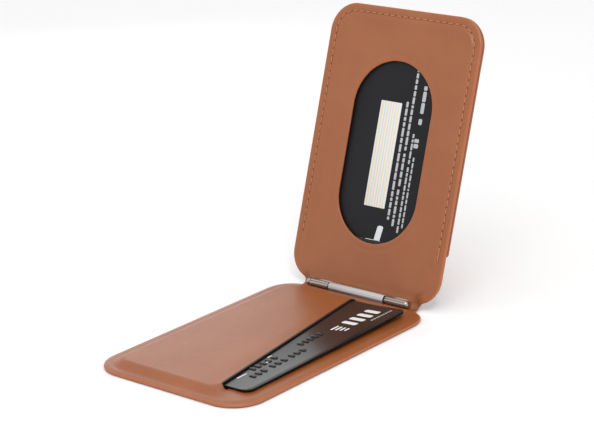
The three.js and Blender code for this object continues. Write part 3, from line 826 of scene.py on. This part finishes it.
def window_loop(grow, n=300):
    """Window outline, grown, with the same evenly spread angles for every ring."""
    r, h, cy = WIN_W / 2, (WIN_V1 - WIN_V0) / 2 - WIN_W / 2, (WIN_V0 + WIN_V1) / 2
    total = 2 * math.pi * r + 4 * h
    t = np.arange(n) / n * total
    out = []
    for u in t:
        if u < math.pi * r:
            a = u / r
            out.append(((r + grow) * math.cos(a), cy + h + (r + grow) * math.sin(a)))
        elif u < math.pi * r + 2 * h:
            out.append((-(r + grow), cy + h - (u - math.pi * r)))
        elif u < 2 * math.pi * r + 2 * h:
            a = math.pi + (u - math.pi * r - 2 * h) / r
            out.append(((r + grow) * math.cos(a), cy - h + (r + grow) * math.sin(a)))
        else:
            out.append((r + grow, cy - h + (u - 2 * math.pi * r - 2 * h)))
    return np.array(out)


def front_skin():
    outer = skin_outline()
    nrm = inward(outer)
    ds = [0, 0.02, 0.06, 0.12, 0.2, 0.3, 0.42, 0.56, 0.75, 1.0, 1.3, 1.6, 1.9, 2.15, 2.35, 2.52, 2.68, 2.84, 3.0, 3.16, 3.35, 3.6, 3.9, 4.3, 4.8]
    kap = (1 - smoothstep(-6.0, -2.2, outer[:, 1]))[:, None]
    rings, dd = [], []
    for d in ds:
        e = d * (1 - kap) + kap * d * (0.85 / 4.8)
        rings.append(outer + nrm * e)
        dd.append(e[:, 0])
    grow = [6.4, 5.6, 5.0, 4.5, 4.0, 3.6, 3.2, 2.8, 2.4, 2.0, 1.7, 1.4, 1.1, 0.85, 0.62, 0.45, 0.31, 0.2, 0.11, 0.05, 0.015, 0]
    wins = [window_loop(g) for g in grow]
    last, first = rings[-1], wins[0]
    # middle points on a triangular grid
    sp = 1.15
    gx, gy = [], []
    k = 0
    y = last[:, 1].min()
    while y < last[:, 1].max():
        off = 0.5 * sp * (k % 2)
        for x in np.arange(-34, 34, sp):
            gx.append(x + off)
            gy.append(y)
        y += sp * 0.866
        k += 1
    mid = np.stack([gx, gy], 1)
    mid = mid[inside_loop(mid, last)]
    mid = mid[(segment_distance(mid, last) > 0.5) & (window_distance(mid[:, 0], mid[:, 1]) > grow[0] + 0.5)]
    n0, n1 = len(last), len(first)
    flat2 = np.concatenate([last, first, mid])
    edges = [(i, (i + 1) % n0) for i in range(n0)] + [(n0 + i, n0 + (i + 1) % n1) for i in range(n1)]
    res = delaunay_2d_cdt([Vector(q) for q in flat2.tolist()], edges, [], 0, 1e-7, True)
    assert len(res[0]) == len(flat2)
    back_to = [int(o[0]) for o in res[3]]
    tri = np.array([[back_to[i] for i in f] for f in res[2]])
    cen = flat2[tri].mean(1)
    keep = inside_loop(cen, last) & (window_distance(cen[:, 0], cen[:, 1]) > grow[0] - 0.02)
    tri = tri[keep]
    pts = np.concatenate(rings + wins + [mid])
    nr, nw = len(rings), len(wins)
    d_mid = segment_distance(np.concatenate(wins + [mid]), outer)
    d = np.concatenate(dd + [d_mid])
    x, sv = pts[:, 0], pts[:, 1]
    w = window_distance(x, sv)
    up = smoothstep(-1.0, 3.0, sv)
    r = 0.26 + 0.30 * up
    q = np.clip(d / r, 0, 1)
    off = r * (1 - np.sqrt(np.clip(1 - (1 - q) ** 2, 0, 1)))
    run = 0.22 * smoothstep(2.0, 6.0, sv) + 0.78 * smoothstep(14.5, 18.0, sv)
    off = off + 0.17 * np.exp(-(((d - 2.84) / 0.5) ** 2)) * run
    off = off - 0.34 * smoothstep(2.9, 4.1, d) * (1 - smoothstep(4.4, 8.2, d)) * run
    off = off - 0.05 * np.exp(-(((d - 1.4) / 0.7) ** 2)) * run
    rw = 0.42
    qw = np.clip(w / rw, 0, 1)
    off = off + rw * (1 - np.sqrt(np.clip(1 - (1 - qw) ** 2, 0, 1)))
    off = off - 0.07 * np.exp(-(((w - 1.0) / 0.7) ** 2)) + 0.07 * np.exp(-(((w - 2.5) / 0.6) ** 2)) - 0.05 * np.exp(-(((w - 3.9) / 0.9) ** 2))
    # the skin sinks towards the barrel between the two lower corners
    off = off + 0.22 * np.exp(-(((sv - 2.4) / 2.2) ** 2)) * (1 - smoothstep(21.5, 25.5, np.abs(x))) * smoothstep(-2.5, 0.5, sv)
    # and falls away round the end of the barrel
    off = off + 0.95 * np.exp(-(((sv - 0.6) / 2.4) ** 2) - (((np.abs(x) - 24.9) / 2.0) ** 2)) * smoothstep(-3.5, 0.0, sv)
    thick = 0.6 + 0.1 * up
    rim = 1.28 * smoothstep(0.2, 2.2, sv)
    back = np.where(d < 1.55, np.maximum(rim, 0.6), thick)
    back = np.maximum(back, off + 0.30 * smoothstep(0, 0.3, d))
    rb = 0.24
    qb = np.clip(d / rb, 0, 1)
    back = back - rb * (1 - np.sqrt(np.clip(1 - (1 - qb) ** 2, 0, 1))) * 0.8
    back = np.maximum(back, off + 0.004)
    top = skin_point(x, sv, off)
    low = skin_point(x, sv, back)
    n = len(pts)
    faces = []

    def band(start, count, size, base):
        for i in range(count - 1):
            a, b = start + i * size, start + (i + 1) * size
            for j in range(size):
                k = (j + 1) % size
                f = (base + a + j, base + a + k, base + b + k, base + b + j)
                faces.append(f if base == 0 else f[::-1])

    w0 = nr * n0
    m0 = w0 + nw * n1
    for base in (0, n):
        band(0, nr, n0, base)
        for i in range(nw - 1):
            a, b = w0 + i * n1, w0 + (i + 1) * n1
            for j in range(n1):
                k = (j + 1) % n1
                f = (base + a + j, base + a + k, base + b + k, base + b + j)
                faces.append(f if base == 0 else f[::-1])
        remap = np.concatenate([(nr - 1) * n0 + np.arange(n0), w0 + np.arange(n1), m0 + np.arange(len(mid))])
        for t in tri:
            f = tuple(int(base + remap[i]) for i in t)
            faces.append(f if base == 0 else f[::-1])
    for j in range(n0):
        k = (j + 1) % n0
        faces.append((j, n + j, n + k, k))
    e = w0 + (nw - 1) * n1
    for j in range(n1):
        k = (j + 1) % n1
        faces.append((e + j, e + k, n + e + k, n + e + j))
    # painted highlight along the outer rim and the window rim
    edge = np.maximum(np.exp(-((d / 0.5) ** 2)), 0.7 * np.exp(-((w / 0.35) ** 2)) * (w < 4))
    shade = 0.10 * np.exp(-(((d - 2.84) / 0.34) ** 2)) * smoothstep(15.5, 18.0, sv)
    shade = np.maximum(shade, 0.42 * np.exp(-(((sv + 0.5) / 2.3) ** 2) - (((np.abs(x) - 25.1) / 1.9) ** 2)))
    attrs = {
        "edge": np.concatenate([edge, np.exp(-((d / 0.5) ** 2))]),
        "shade": np.concatenate([shade, np.zeros(n)]),
    }
    return build("flap_front_skin", np.concatenate([top, low]), faces, attrs=attrs)


skin = assign(front_skin(), mat_leather)
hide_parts("flap_front_leather", "hinge_neck")
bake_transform(skin)

# ------------------------------------------------------------------ flap back body
def back_body():
    rect = (-HW, HW, BACK_V0, V1)
    ds = [0, 0.02, 0.07, 0.15, 0.26, 0.4, 0.56, 0.75, 1.0, 1.3, 1.6, 1.9, 2.15, 2.4, 2.6, 2.84, 3.05, 3.3, 3.6, 4.0, 4.6, 5.4, 6.4, 7.6, 9.0, 11.5, 15, 20, 26, 31]
    ring_o, ring_i = [], []
    eo, ei, so, si = [], [], [], []
    for d in ds:
        p = inset_rect(d, *rect, 1.3, RT, n_arc=14, step=1.6)
        x, v = p[:, 0], p[:, 1]
        r = 0.62
        q = min(1, d / r)
        out = N_OUT - r * (1 - math.sqrt(max(0, 1 - (1 - q) ** 2)))
        side = smoothstep(20.5, 23, v)
        out = out - 0.16 * math.exp(-(((d - 2.84) / 0.42) ** 2)) * side
        out = out + 0.05 * math.exp(-(((d - 4.4) / 1.0) ** 2))
        low = np.where((np.abs(x) > 27.4) | (v > 99.9), 3.12, N_BACK)
        inn = np.where(d < 1.5, low, N_BACK)
        ring_o.append(flap_point(x, v, out))
        ring_i.append(flap_point(x, v, inn))
        # painted highlight along the rounded outer edge
        eo.append(np.full(len(p), math.exp(-((d / 0.5) ** 2))))
        ei.append(np.full(len(p), 0.0))
        so.append(0.30 * math.exp(-(((d - 2.84) / 0.3) ** 2)) * side)
        si.append(np.full(len(p), 0.5))
    verts = np.concatenate(ring_o[::-1] + ring_i)
    n = len(ring_o[0])
    k = 2 * len(ds)
    faces = ring_faces(k, n, False)
    faces.append(tuple(range(n))[::-1])
    faces.append(tuple(range((k - 1) * n, k * n)))
    attrs = {
        "edge": np.concatenate(eo[::-1] + ei),
        "shade": np.concatenate(so[::-1] + si),
    }
    return build("flap_back_skin", verts, faces, attrs=attrs)


back = assign(back_body(), mat_leather)
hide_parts("flap_back_leather")
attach(back, "flap")

# lining below the step
lining = slab(
    "flap_lining_skin",
    (-HW + 1.5, HW - 1.5, 1.9, 19.6),
    N_CORE,
    N_CORE + 0.27,
    8.2,
    0.5,
    flap_point,
    0.05,
    0.1,
)
assign(lining, mat_fibre)
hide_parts("flap_lower_lining")
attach(lining, "flap")

# ------------------------------------------------------------------ stitches
def stitch_path(inset, v_left, v_right):
    r, x, t = RT - inset, HW - inset, V1 - inset
    pts = [(x, v_right)]
    for i in range(25):
        a = i / 24 * math.pi / 2
        pts.append((x - r + r * math.cos(a), t - r + r * math.sin(a)))
    for i in range(25):
        a = math.pi / 2 + i / 24 * math.pi / 2
        pts.append((-x + r + r * math.cos(a), t - r + r * math.sin(a)))
    pts.append((-x, v_left))
    p = np.array(pts)
    cum = np.concatenate([[0], np.cumsum(np.hypot(*np.diff(p, axis=0).T))])
    return p, cum


def at(path, t):
    p, cum = path
    q = np.array([np.interp(t, cum, p[:, 0]), np.interp(t, cum, p[:, 1])])
    e = 0.05
    a = np.array([np.interp(t - e, cum, p[:, 0]), np.interp(t - e, cum, p[:, 1])])
    b = np.array([np.interp(t + e, cum, p[:, 0]), np.interp(t + e, cum, p[:, 1])])
    d = (b - a) / max(np.linalg.norm(b - a), 1e-9)
    return q, d


def capsule(length, rw, rh, n=10, m=7):
    """Grain-of-rice shape along local u, width w, height h."""
    v, f = [], []
    for i in range(m + 1):
        a = math.pi * i / m
        u = -math.cos(a) * length / 2
        k = math.sin(a) ** 0.62 if 0 < i < m else 0.0
        if k == 0.0:
            v.append((u, 0, 0))
        else:
            for j in range(n):
                b = 2 * math.pi * j / n
                v.append((u, k * rw * math.cos(b), k * rh * math.sin(b)))
    for j in range(n):
        f.append((0, 1 + (j + 1) % n, 1 + j))
    for i in range(m - 2):
        for j in range(n):
            a, b = 1 + i * n + j, 1 + i * n + (j + 1) % n
            f.append((a, b, b + n, a + n))
    e = 1 + (m - 1) * n
    for j in range(n):
        f.append((e, 1 + (m - 2) * n + j, 1 + (m - 2) * n + (j + 1) % n))
    return np.array(v, float), f


def stitches(name, path, pitch, depth, sign, back_tack):
    parts, hole_shade_parts = [], []
    total = path[1][-1]
    count = int(round(total / pitch))
    pitch = total / count
    rng = np.random.default_rng(7)
    for i in range(count):
        t = (i + 0.5) * pitch
        q, d = at(path, t)
        c, f = capsule(pitch * 0.78, 0.28, 0.23)
        tilt = 0.07 + 0.03 * rng.standard_normal()
        nrm = np.array([-d[1], d[0]])
        dd = d * math.cos(tilt) + nrm * math.sin(tilt)
        nn = np.array([-dd[1], dd[0]])
        lift = 0.01 * rng.standard_normal()
        u, w, h = c[:, 0], c[:, 1], c[:, 2]
        arch = -0.12 * (np.abs(u) / (pitch * 0.41)) ** 3
        x = q[0] + u * dd[0] + w * nn[0]
        v = q[1] + u * dd[1] + w * nn[1]
        n = depth + sign * (h + arch + lift + 0.05)
        parts.append((flap_point(x, v, n), f))
    # small dark discs sunk at each needle hole: painted shade of the hole
    for i in range(count + 1):
        q, d = at(path, min(max(i * pitch, 0.02), total - 0.02))
        c, f = capsule(0.62, 0.34, 0.08, 10, 5)
        x = q[0] + c[:, 0] * d[0] - c[:, 1] * d[1]
        v = q[1] + c[:, 0] * d[1] + c[:, 1] * d[0]
        hole_shade_parts.append((flap_point(x, v, depth - sign * 0.10 + sign * c[:, 2]), f))
    for side, v0, v1 in back_tack:
        x0 = side * (HW - STITCH)
        c, f = capsule(v1 - v0, 0.27, 0.22)
        parts.append((flap_point(x0 + 0.16 * side + c[:, 1], (v0 + v1) / 2 + c[:, 0], depth + sign * (c[:, 2] + 0.10)), f))
    a = build(name, *join_parts(parts))
    b = build(name + "_hole_shade", *join_parts(hole_shade_parts))
    assign(a, mat_thread)
    assign(b, mat_hole_shade)
    return a, b


front_path = stitch_path(STITCH, 17.9, 16.8)
th_f, ho_f = stitches("flap_stitches_front", front_path, 2.85, FRONT + 0.10, -1, [(1, 16.9, 22.4)])
back_path = stitch_path(STITCH, 20.4, 20.4)
th_b, ho_b = stitches("flap_stitches_back", back_path, 2.95, N_OUT - 0.10, 1, [])
for o, n in ((th_f, "flap_thread_front"), (th_b, "flap_thread_back")):
    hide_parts(n)
    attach(o, "flap")
for o in (ho_f, ho_b):
    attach(o, "flap")

# ------------------------------------------------------------------ hinge
def facet(a, x):
    best = np.full(a.shape, 1.0)
    for k in range(8):
        c = 2 * math.pi * k / 8 + 0.506
        dlt = (a - c + math.pi) % (2 * math.pi) - math.pi
        f = 0.945 / np.maximum(np.cos(dlt), 0.2)
        best = np.where(np.abs(dlt) < 0.5, np.minimum(best, f), best)
    return best


def tube_parts(x0, x1, r_out, r_in, chamfer=0.12, n=72, radial=None, seam=None):
    prof_o = [(x0, r_out - chamfer), (x0 + chamfer * 0.3, r_out - chamfer * 0.35), (x0 + chamfer, r_out), (x1 - chamfer, r_out), (x1 - chamfer * 0.3, r_out - chamfer * 0.35), (x1, r_out - chamfer)]
    prof_i = [(x1, r_in), (x0, r_in)]
    a = np.arange(n) / n * 2 * math.pi
    rings = []
    for x, r in prof_o:
        rr = np.full(n, float(r))
        if radial is not None:
            rr = rr * radial(a, x)
        if seam is not None:
            dlt = (a - seam + math.pi) % (2 * math.pi) - math.pi
            rr = rr - 0.36 * np.exp(-((dlt / 0.13) ** 4))
        rings.append(np.stack([np.full(n, float(x)), AY + rr * np.cos(a), AZ + rr * np.sin(a)], 1))
    for x, r in prof_i:
        rings.append(np.stack([np.full(n, float(x)), AY + r * np.cos(a), AZ + r * np.sin(a)], 1))
    return np.concatenate(rings), ring_faces(len(rings), n, True)


def extrude_x(profile, x0, x1):
    p = np.array(profile, float)
    n = len(p)
    v = np.concatenate([np.stack([np.full(n, x), p[:, 0], p[:, 1]], 1) for x in (x0, x1)])
    f = [(j, (j + 1) % n, n + (j + 1) % n, n + j) for j in range(n)]
    f.append(tuple(range(n))[::-1])
    f.append(tuple(range(n, 2 * n)))
    return v, f


# centre knuckle with its plate (the plate runs into the base leaf)
plate = extrude_x(
    [(AY, 1.02), (AY, 1.30), (46.2, 1.30), (44.9, 0.75), (34.2, 0.75), (34.2, 0.46), (45.1, 0.46), (46.4, 1.02)], -11.8, 11.8
)
centre = tube_parts(-12.4, 12.4, 1.65, 1.28, 0.14, 84, facet)
knuckle = build("hinge_centre_knuckle", *join_parts([centre, plate]))
assign(knuckle, mat_knuckle)
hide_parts("hinge_base_leaf")
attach(knuckle, "base")


def plate_flap():
    outline = [(-22, 2.7), (22, 2.7), (22, 8), (27.5, 13), (27.5, 29), (20.2, 29), (20.2, 14.5), (-20.2, 14.5), (-20.2, 29), (-27.5, 29), (-27.5, 13), (-22, 8)]
    p = np.array(outline, float)
    n = len(p)
    v = np.concatenate([flap_point(p[:, 0], p[:, 1], N_LEAF + 0.01), flap_point(p[:, 0], p[:, 1], N_LEAF + 0.29)])
    f = [(j, (j + 1) % n, n + (j + 1) % n, n + j) for j in range(n)]
    f.append(tuple(range(n))[::-1])
    f.append(tuple(range(n, 2 * n)))
    return v, f


def strap(x0, x1):
    prof = np.array([(0, 0.9), (0.7, 0.95), (1.5, 1.95), (2.4, N_LEAF), (2.8, N_LEAF), (2.8, N_LEAF + 0.3), (2.3, N_LEAF + 0.3), (1.2, 2.2), (0.45, 1.25), (0, 1.25)], float)
    n = len(prof)
    v = np.concatenate([flap_point(np.full(n, x), prof[:, 0], prof[:, 1]) for x in (x0, x1)])
    f = [(j, (j + 1) % n, n + (j + 1) % n, n + j) for j in range(n)]
    f.append(tuple(range(n))[::-1])
    f.append(tuple(range(n, 2 * n)))
    return v, f


SEAM = math.radians(139)
sides = build(
    "hinge_side_knuckles",
    *join_parts(
        [
            tube_parts(12.9, 21.4, 1.38, 0.87, 0.12, 84, None, SEAM),
            tube_parts(-21.4, -12.9, 1.38, 0.87, 0.12, 84, None, SEAM),
            strap(13.0, 21.3),
            strap(-21.3, -13.0),
            plate_flap(),
        ]
    ),
)
assign(sides, mat_side)
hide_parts("hinge_flap_leaf")
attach(sides, "flap")

for name, s in (("left", -1), ("right", 1)):
    prof = [(21.46, 0.9), (21.46, 1.36), (21.52, 1.47), (21.62, 1.52), (21.95, 1.53), (22.2, 1.50), (22.45, 1.40), (22.66, 1.24), (22.82, 1.02), (22.92, 0.76), (22.98, 0.44), (23.0, 0.14)]
    v, f = lathe_x([(s * x, r) for x, r in prof], 56)
    cap = build("pin_dome_" + name, v, f)
    assign(cap, mat_cap)
    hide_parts("pin_cap_" + name)
    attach(cap, "flap")
    v, f = tube_parts(min(s * 12.46, s * 12.84), max(s * 12.46, s * 12.84), 1.38, 0.87, 0.05, 56)
    wsh = build("hinge_collar_" + name, v, f)
    assign(wsh, mat_dark)
    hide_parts("hinge_washer_" + name)
    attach(wsh, "flap")

# ------------------------------------------------------------------ cards
def card_place(cx, cy):
    return lambda x, y, z: flat(np.asarray(x) + cx, np.asarray(y) + cy, z)


C1 = (0.45, 2.2)
Z1 = 1.57


def spring(x, y):
    """How far the exposed part of the card stands up, bending along lines parallel to the pocket's slit."""
    u = np.maximum(np.asarray(x, float) - slit_x(np.asarray(y, float)) + 0.5, 0)
    return np.minimum(0.0036 * (y + 41.0), 0.31) + 0.0025 * u * u


def sprung(x, y, z):
    return flat(x, y, np.asarray(z) + spring(np.asarray(x, float), np.asarray(y, float)))


def card_blank():
    """Rows along the card's length so that it can bend."""
    hw, hl, r = CARD_W / 2, CARD_L / 2, CARD_R
    ys = [-hl + r - r * math.cos(math.pi / 2 * k / 10) for k in range(11)]
    ys += list(np.linspace(-hl + r, hl - r, 40)[1:-1]) + [-q for q in ys[::-1]]
    prof = [(0.10, 0.0), (0.03, 0.03), (0.0, 0.10), (0.0, CARD_T - 0.12), (0.035, CARD_T - 0.035), (0.12, CARD_T)]
    top_x = np.linspace(-1, 1, 33)
    verts, faces = [], []
    rows = []
    for yy in ys:
        q = max(0.0, abs(yy) - (hl - r))
        w = hw - r + math.sqrt(max(0, r * r - q * q))
        end = min(1.0, (hl - abs(yy)) / 0.12)
        ring = []
        lo = 0.10 * (1 - math.sqrt(max(0, 1 - (1 - end) ** 2)))
        pts = []
        for t in top_x:
            pts.append((t * (w - 0.12), CARD_T - lo))
        for d, z in prof[::-1][1:-1]:
            pts.append((w - d, min(z, CARD_T - lo)))
        for t in top_x[::-1]:
            pts.append((t * (w - 0.10), 0.0 + lo * 0.5))
        for d, z in prof[1:-1]:
            pts.append((-(w - d), min(z, CARD_T - lo)))
        p = np.array(pts)
        ring = sprung(p[:, 0] + C1[0], np.full(len(p), yy + C1[1]), p[:, 1] + Z1)
        rows.append(ring)
    n = len(rows[0])
    return np.concatenate(rows), ring_faces(len(rows), n, False) + [tuple(range(n))[::-1], tuple(range((len(rows) - 1) * n, len(rows) * n))]


card1 = build("base_card_blank", *card_blank())
assign(card1, mat_card_a)
card1.data.materials.append(mat_card_side)
for poly in card1.data.polygons:
    if abs(poly.normal.z) < 0.75:
        poly.material_index = 1
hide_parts("base_card")
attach(card1, "base_card")


def block(u0, u1, w0, w1, z0, z1, place, soft=0.12, shear=0.0, corner=0.28):
    """A small raised mark, sheared along w."""
    out = []
    for d, z in ((0.0, z0), (0.0, z0 + (z1 - z0) * 0.45), (soft * 0.3, z0 + (z1 - z0) * 0.85), (soft, z1)):
        r = max(0.05, min(u1 - u0, w1 - w0) * corner - d * 0.4)
        pts = []
        for cx, cy, a0 in ((u1 - r - d, w0 + r + d, -90), (u1 - r - d, w1 - r - d, 0), (u0 + r + d, w1 - r - d, 90), (u0 + r + d, w0 + r + d, 180)):
            for i in range(4):
                a = math.radians(a0 + i * 30)
                pts.append((cx + r * math.cos(a), cy + r * math.sin(a)))
        p = np.array(pts)
        p[:, 0] += shear * (p[:, 1] - (w0 + w1) / 2)
        out.append(place(p[:, 0], p[:, 1], np.full(len(p), z)))
    n = len(out[0])
    return np.concatenate(out), ring_faces(len(out), n, False) + [tuple(range(n))[::-1], tuple(range(3 * n, 4 * n))]


top1 = Z1 + CARD_T
emboss = []
rng = np.random.default_rng(11)
for x0, ys_ in ((18.7, (-29.8, -26.9, -24.0, -19.4, -16.4, -13.2, -9.0, -6.0, -3.0)), (14.6, (-25.0, -22.2, -19.4, -16.6, -13.4, 1.2, 3.9, 6.6, 9.2, 11.9))):
    for yy in ys_:
        xx = x0 - 0.035 * (yy + 27) + rng.uniform(-0.1, 0.1)
        ln = (1.3, 1.7, 1.5)[len(emboss) % 3]
        emboss.append(block(xx, xx + 2.6, yy - ln / 2, yy + ln / 2, top1 - 0.05, top1 + 0.34, sprung, 0.16))
emb = build("card_embossed_blocks", *join_parts(emboss))
assign(emb, mat_emboss)
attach(emb, "base_card")

# printed marks: plain bars, no lettering
marks = []
zt0, zt1 = top1 - 0.03, top1 + 0.025
for k in range(4):
    y0 = 24.6 + k * 4.3
    marks.append(block(13.9, 20.0, y0, y0 + 2.3, zt0, zt1, sprung, 0.05, 0.10))
for k in range(4):
    marks.append(block(14.9 + 1.6 * k, 15.7 + 1.6 * k, 17.2 + 0.5 * k, 21.6 - 0.1 * k, zt0, zt1, sprung, 0.05))
for x0, ya, yb in ((16.55, -34.0, -29.2), (13.25, -14.6, -12.4), (15.7, -18.6, -17.2)):
    marks.append(block(x0, x0 + 0.5, ya, yb, zt0, zt1, sprung, 0.03))
whites = build("card_print_bars", *join_parts(marks))
assign(whites, mat_white)
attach(whites, "base_card")
faint = []
y0 = 31.0
while y0 < 42.4:
    ln = float(rng.uniform(0.6, 1.3))
    faint.append(block(21.8 + 0.03 * (y0 - 31), 22.6 + 0.03 * (y0 - 31), y0, min(y0 + ln, 42.6), zt0, zt1, sprung, 0.03))
    y0 += ln + 0.35
faints = build("card_print_line", *join_parts(faint))
assign(faints, mat_grey)
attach(faints, "base_card")

# the card in the flap
card2 = slab("flap_card_blank", (-CARD_W / 2, CARD_W / 2, 13.9, 13.9 + CARD_L), N_CARD, N_CARD + CARD_T, CARD_R, CARD_R, flap_point, 0.10, 0.08, steps=3)
assign(card2, mat_card_b)
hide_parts("flap_card")
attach(card2, "flap_card")


def on_face(x, v, z):
    """z counts out of the card's visible face, towards the window."""
    return flap_point(x, v, N_CARD - np.asarray(z))


panel = build("flap_card_panel", *block(-6.0, 3.3, 31.5, 70.1, -0.03, 0.03, on_face, 0.03, 0.0, 0.03))


def panel_material():
    m, nt, b = new_material("signature_panel")
    v = coords(nt)
    sep = node(nt, "ShaderNodeSeparateXYZ")
    nt.links.new(v, sep.inputs[0])
    t = math_node(nt, "MULTIPLY", sep.outputs[0], 1000.0 / 2.35)
    fr = math_node(nt, "FRACT", math_node(nt, "ADD", t, 40.15))
    col = ramp(
        nt,
        fr,
        [(0.0, (0.70, 0.56, 0.32)), (0.16, (0.74, 0.68, 0.54)), (0.34, (0.72, 0.72, 0.70)), (0.55, (0.50, 0.57, 0.66)), (0.72, (0.70, 0.72, 0.73)), (0.9, (0.74, 0.66, 0.50)), (1.0, (0.70, 0.56, 0.32))],
    )
    n = tex_noise(nt, v, 2500, 3, 0.6)
    col = mix_color(nt, ramp_fac(nt, n, 0.3, 0.8, 0, 0.18), col, (0.70, 0.70, 0.68))
    nt.links.new(col, b.inputs["Base Color"])
    b.inputs["Roughness"].default_value = 0.6
    nt.links.new(bump(nt, n, 0.1, 0.00002), b.inputs["Normal"])
    return m


assign(panel, panel_material())
prints = []
rng = np.random.default_rng(3)
for x0, x1, va, vb, lo_, hi_ in (
    (5.1, 6.1, 28.0, 71.0, 0.9, 3.4),
    (7.5, 8.5, 26.0, 84.0, 0.8, 3.0),
    (10.1, 10.9, 24.0, 60.0, 0.8, 2.6),
    (11.9, 12.6, 26.0, 52.0, 0.8, 2.4),
    (11.2, 13.2, 55.0, 58.4, 1.5, 1.6),
    (11.6, 13.1, 63.5, 77.5, 2.0, 4.0),
):
    v = va
    while v < vb:
        ln = rng.uniform(lo_, hi_)
        prints.append(block(x0, x1, v, min(v + ln, vb), -0.02, 0.02, on_face, 0.02))
        v += ln + (rng.uniform(0.3, 0.5) if rng.uniform() < 0.85 else rng.uniform(1.0, 2.0))
small = build("flap_card_prints", *join_parts(prints))
assign(small, mat_grey)
foil = build("flap_card_foil", *join_parts([block(-3.6, 3.6, 17.2, 19.8, -0.02, 0.03, on_face, 0.05, 0.3), block(1.2, 3.8, 18.8, 25.2, -0.02, 0.03, on_face, 0.05, 0.15)]))
assign(foil, mat_foil)
for o in (panel, small, foil):
    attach(o, "flap_card")

# ------------------------------------------------------------------ CAD nodes that stay, with better materials
for n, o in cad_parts.items():
    if o.hide_render:
        continue
    if n.startswith("ring_magnet") or n == "alignment_magnet":
        m = mat_magnet
    elif n in ("base_core_board", "flap_pocket_spacer"):
        m = mat_board
    else:
        m = mat_steel
    assign(o, m)

# ------------------------------------------------------------------ floor, light, camera
def floor():
    me = bpy.data.meshes.new("floor")
    s = 4.0
    me.from_pydata([(-s, -s, 0), (s, -s, 0), (s, s, 0), (-s, s, 0)], [], [(0, 1, 2, 3)])
    ob = link(bpy.data.objects.new("floor", me))
    ob.location = (0, 0, -0.00002)
    m, nt, b = new_material("floor_white")
    b.inputs["Base Color"].default_value = (0.90, 0.90, 0.90, 1)
    b.inputs["Roughness"].default_value = 0.7
    assign(ob, m)
    return ob


floor()
world = bpy.data.worlds.new("studio")
bpy.context.scene.world = world
world.use_nodes = True
bg = world.node_tree.nodes["Background"]
bg.inputs["Color"].default_value = (1, 1, 1, 1)
bg.inputs["Strength"].default_value = 0.98


def area(name, loc, target, size, power, color=(1, 1, 1)):
    li = bpy.data.lights.new(name, "AREA")
    li.shape = "RECTANGLE"
    li.size, li.size_y = size
    li.energy = power
    li.color = color
    ob = link(bpy.data.objects.new(name, li))
    ob.location = loc
    ob.rotation_mode = "QUATERNION"
    ob.rotation_quaternion = (Vector(target) - Vector(loc)).to_track_quat("-Z", "Y")
    return ob


area("key", (0.32, -0.52, 0.78), (0, 0.02, 0.03), (0.5, 0.5), 2.0)
area("glint", (0.42, -0.30, 0.62), (0.02, 0.05, 0.01), (0.08, 0.08), 0.75)

area("sheen", (-0.381, 0.309, 0.158), (-0.028, -0.01, 0.003), (0.16, 0.16), 0.06)

sc = bpy.context.scene
sc.view_settings.view_transform = "Standard"
sc.view_settings.look = "None"

cam_data = bpy.data.cameras.new("camera")
cam = link(bpy.data.objects.new("camera", cam_data))
az, el, roll = 0.6968620065, 0.3149155127, -0.0335030077
dist, tx, ty, fpx = 822.1727, -75.0485, 160.4844, 2028.6938
back_v = Vector((math.sin(az) * math.cos(el), -math.cos(az) * math.cos(el), math.sin(el)))
fwd = -back_v
right = fwd.cross(Vector((0, 0, 1))).normalized()
upv = right.cross(fwd)
c, s = math.cos(roll), math.sin(roll)
r2 = c * right + s * upv
u2 = -s * right + c * upv
pos = (Vector((tx, ty - 51.6, 0)) + back_v * dist) * MM
rot = Matrix((r2, u2, -fwd)).transposed()
cam.matrix_world = Matrix.Translation(pos) @ rot.to_4x4()
cam_data.sensor_width = 36.0
cam_data.lens = fpx / 594 * 36.0
cam_data.clip_start, cam_data.clip_end = 0.05, 20
sc.camera = cam
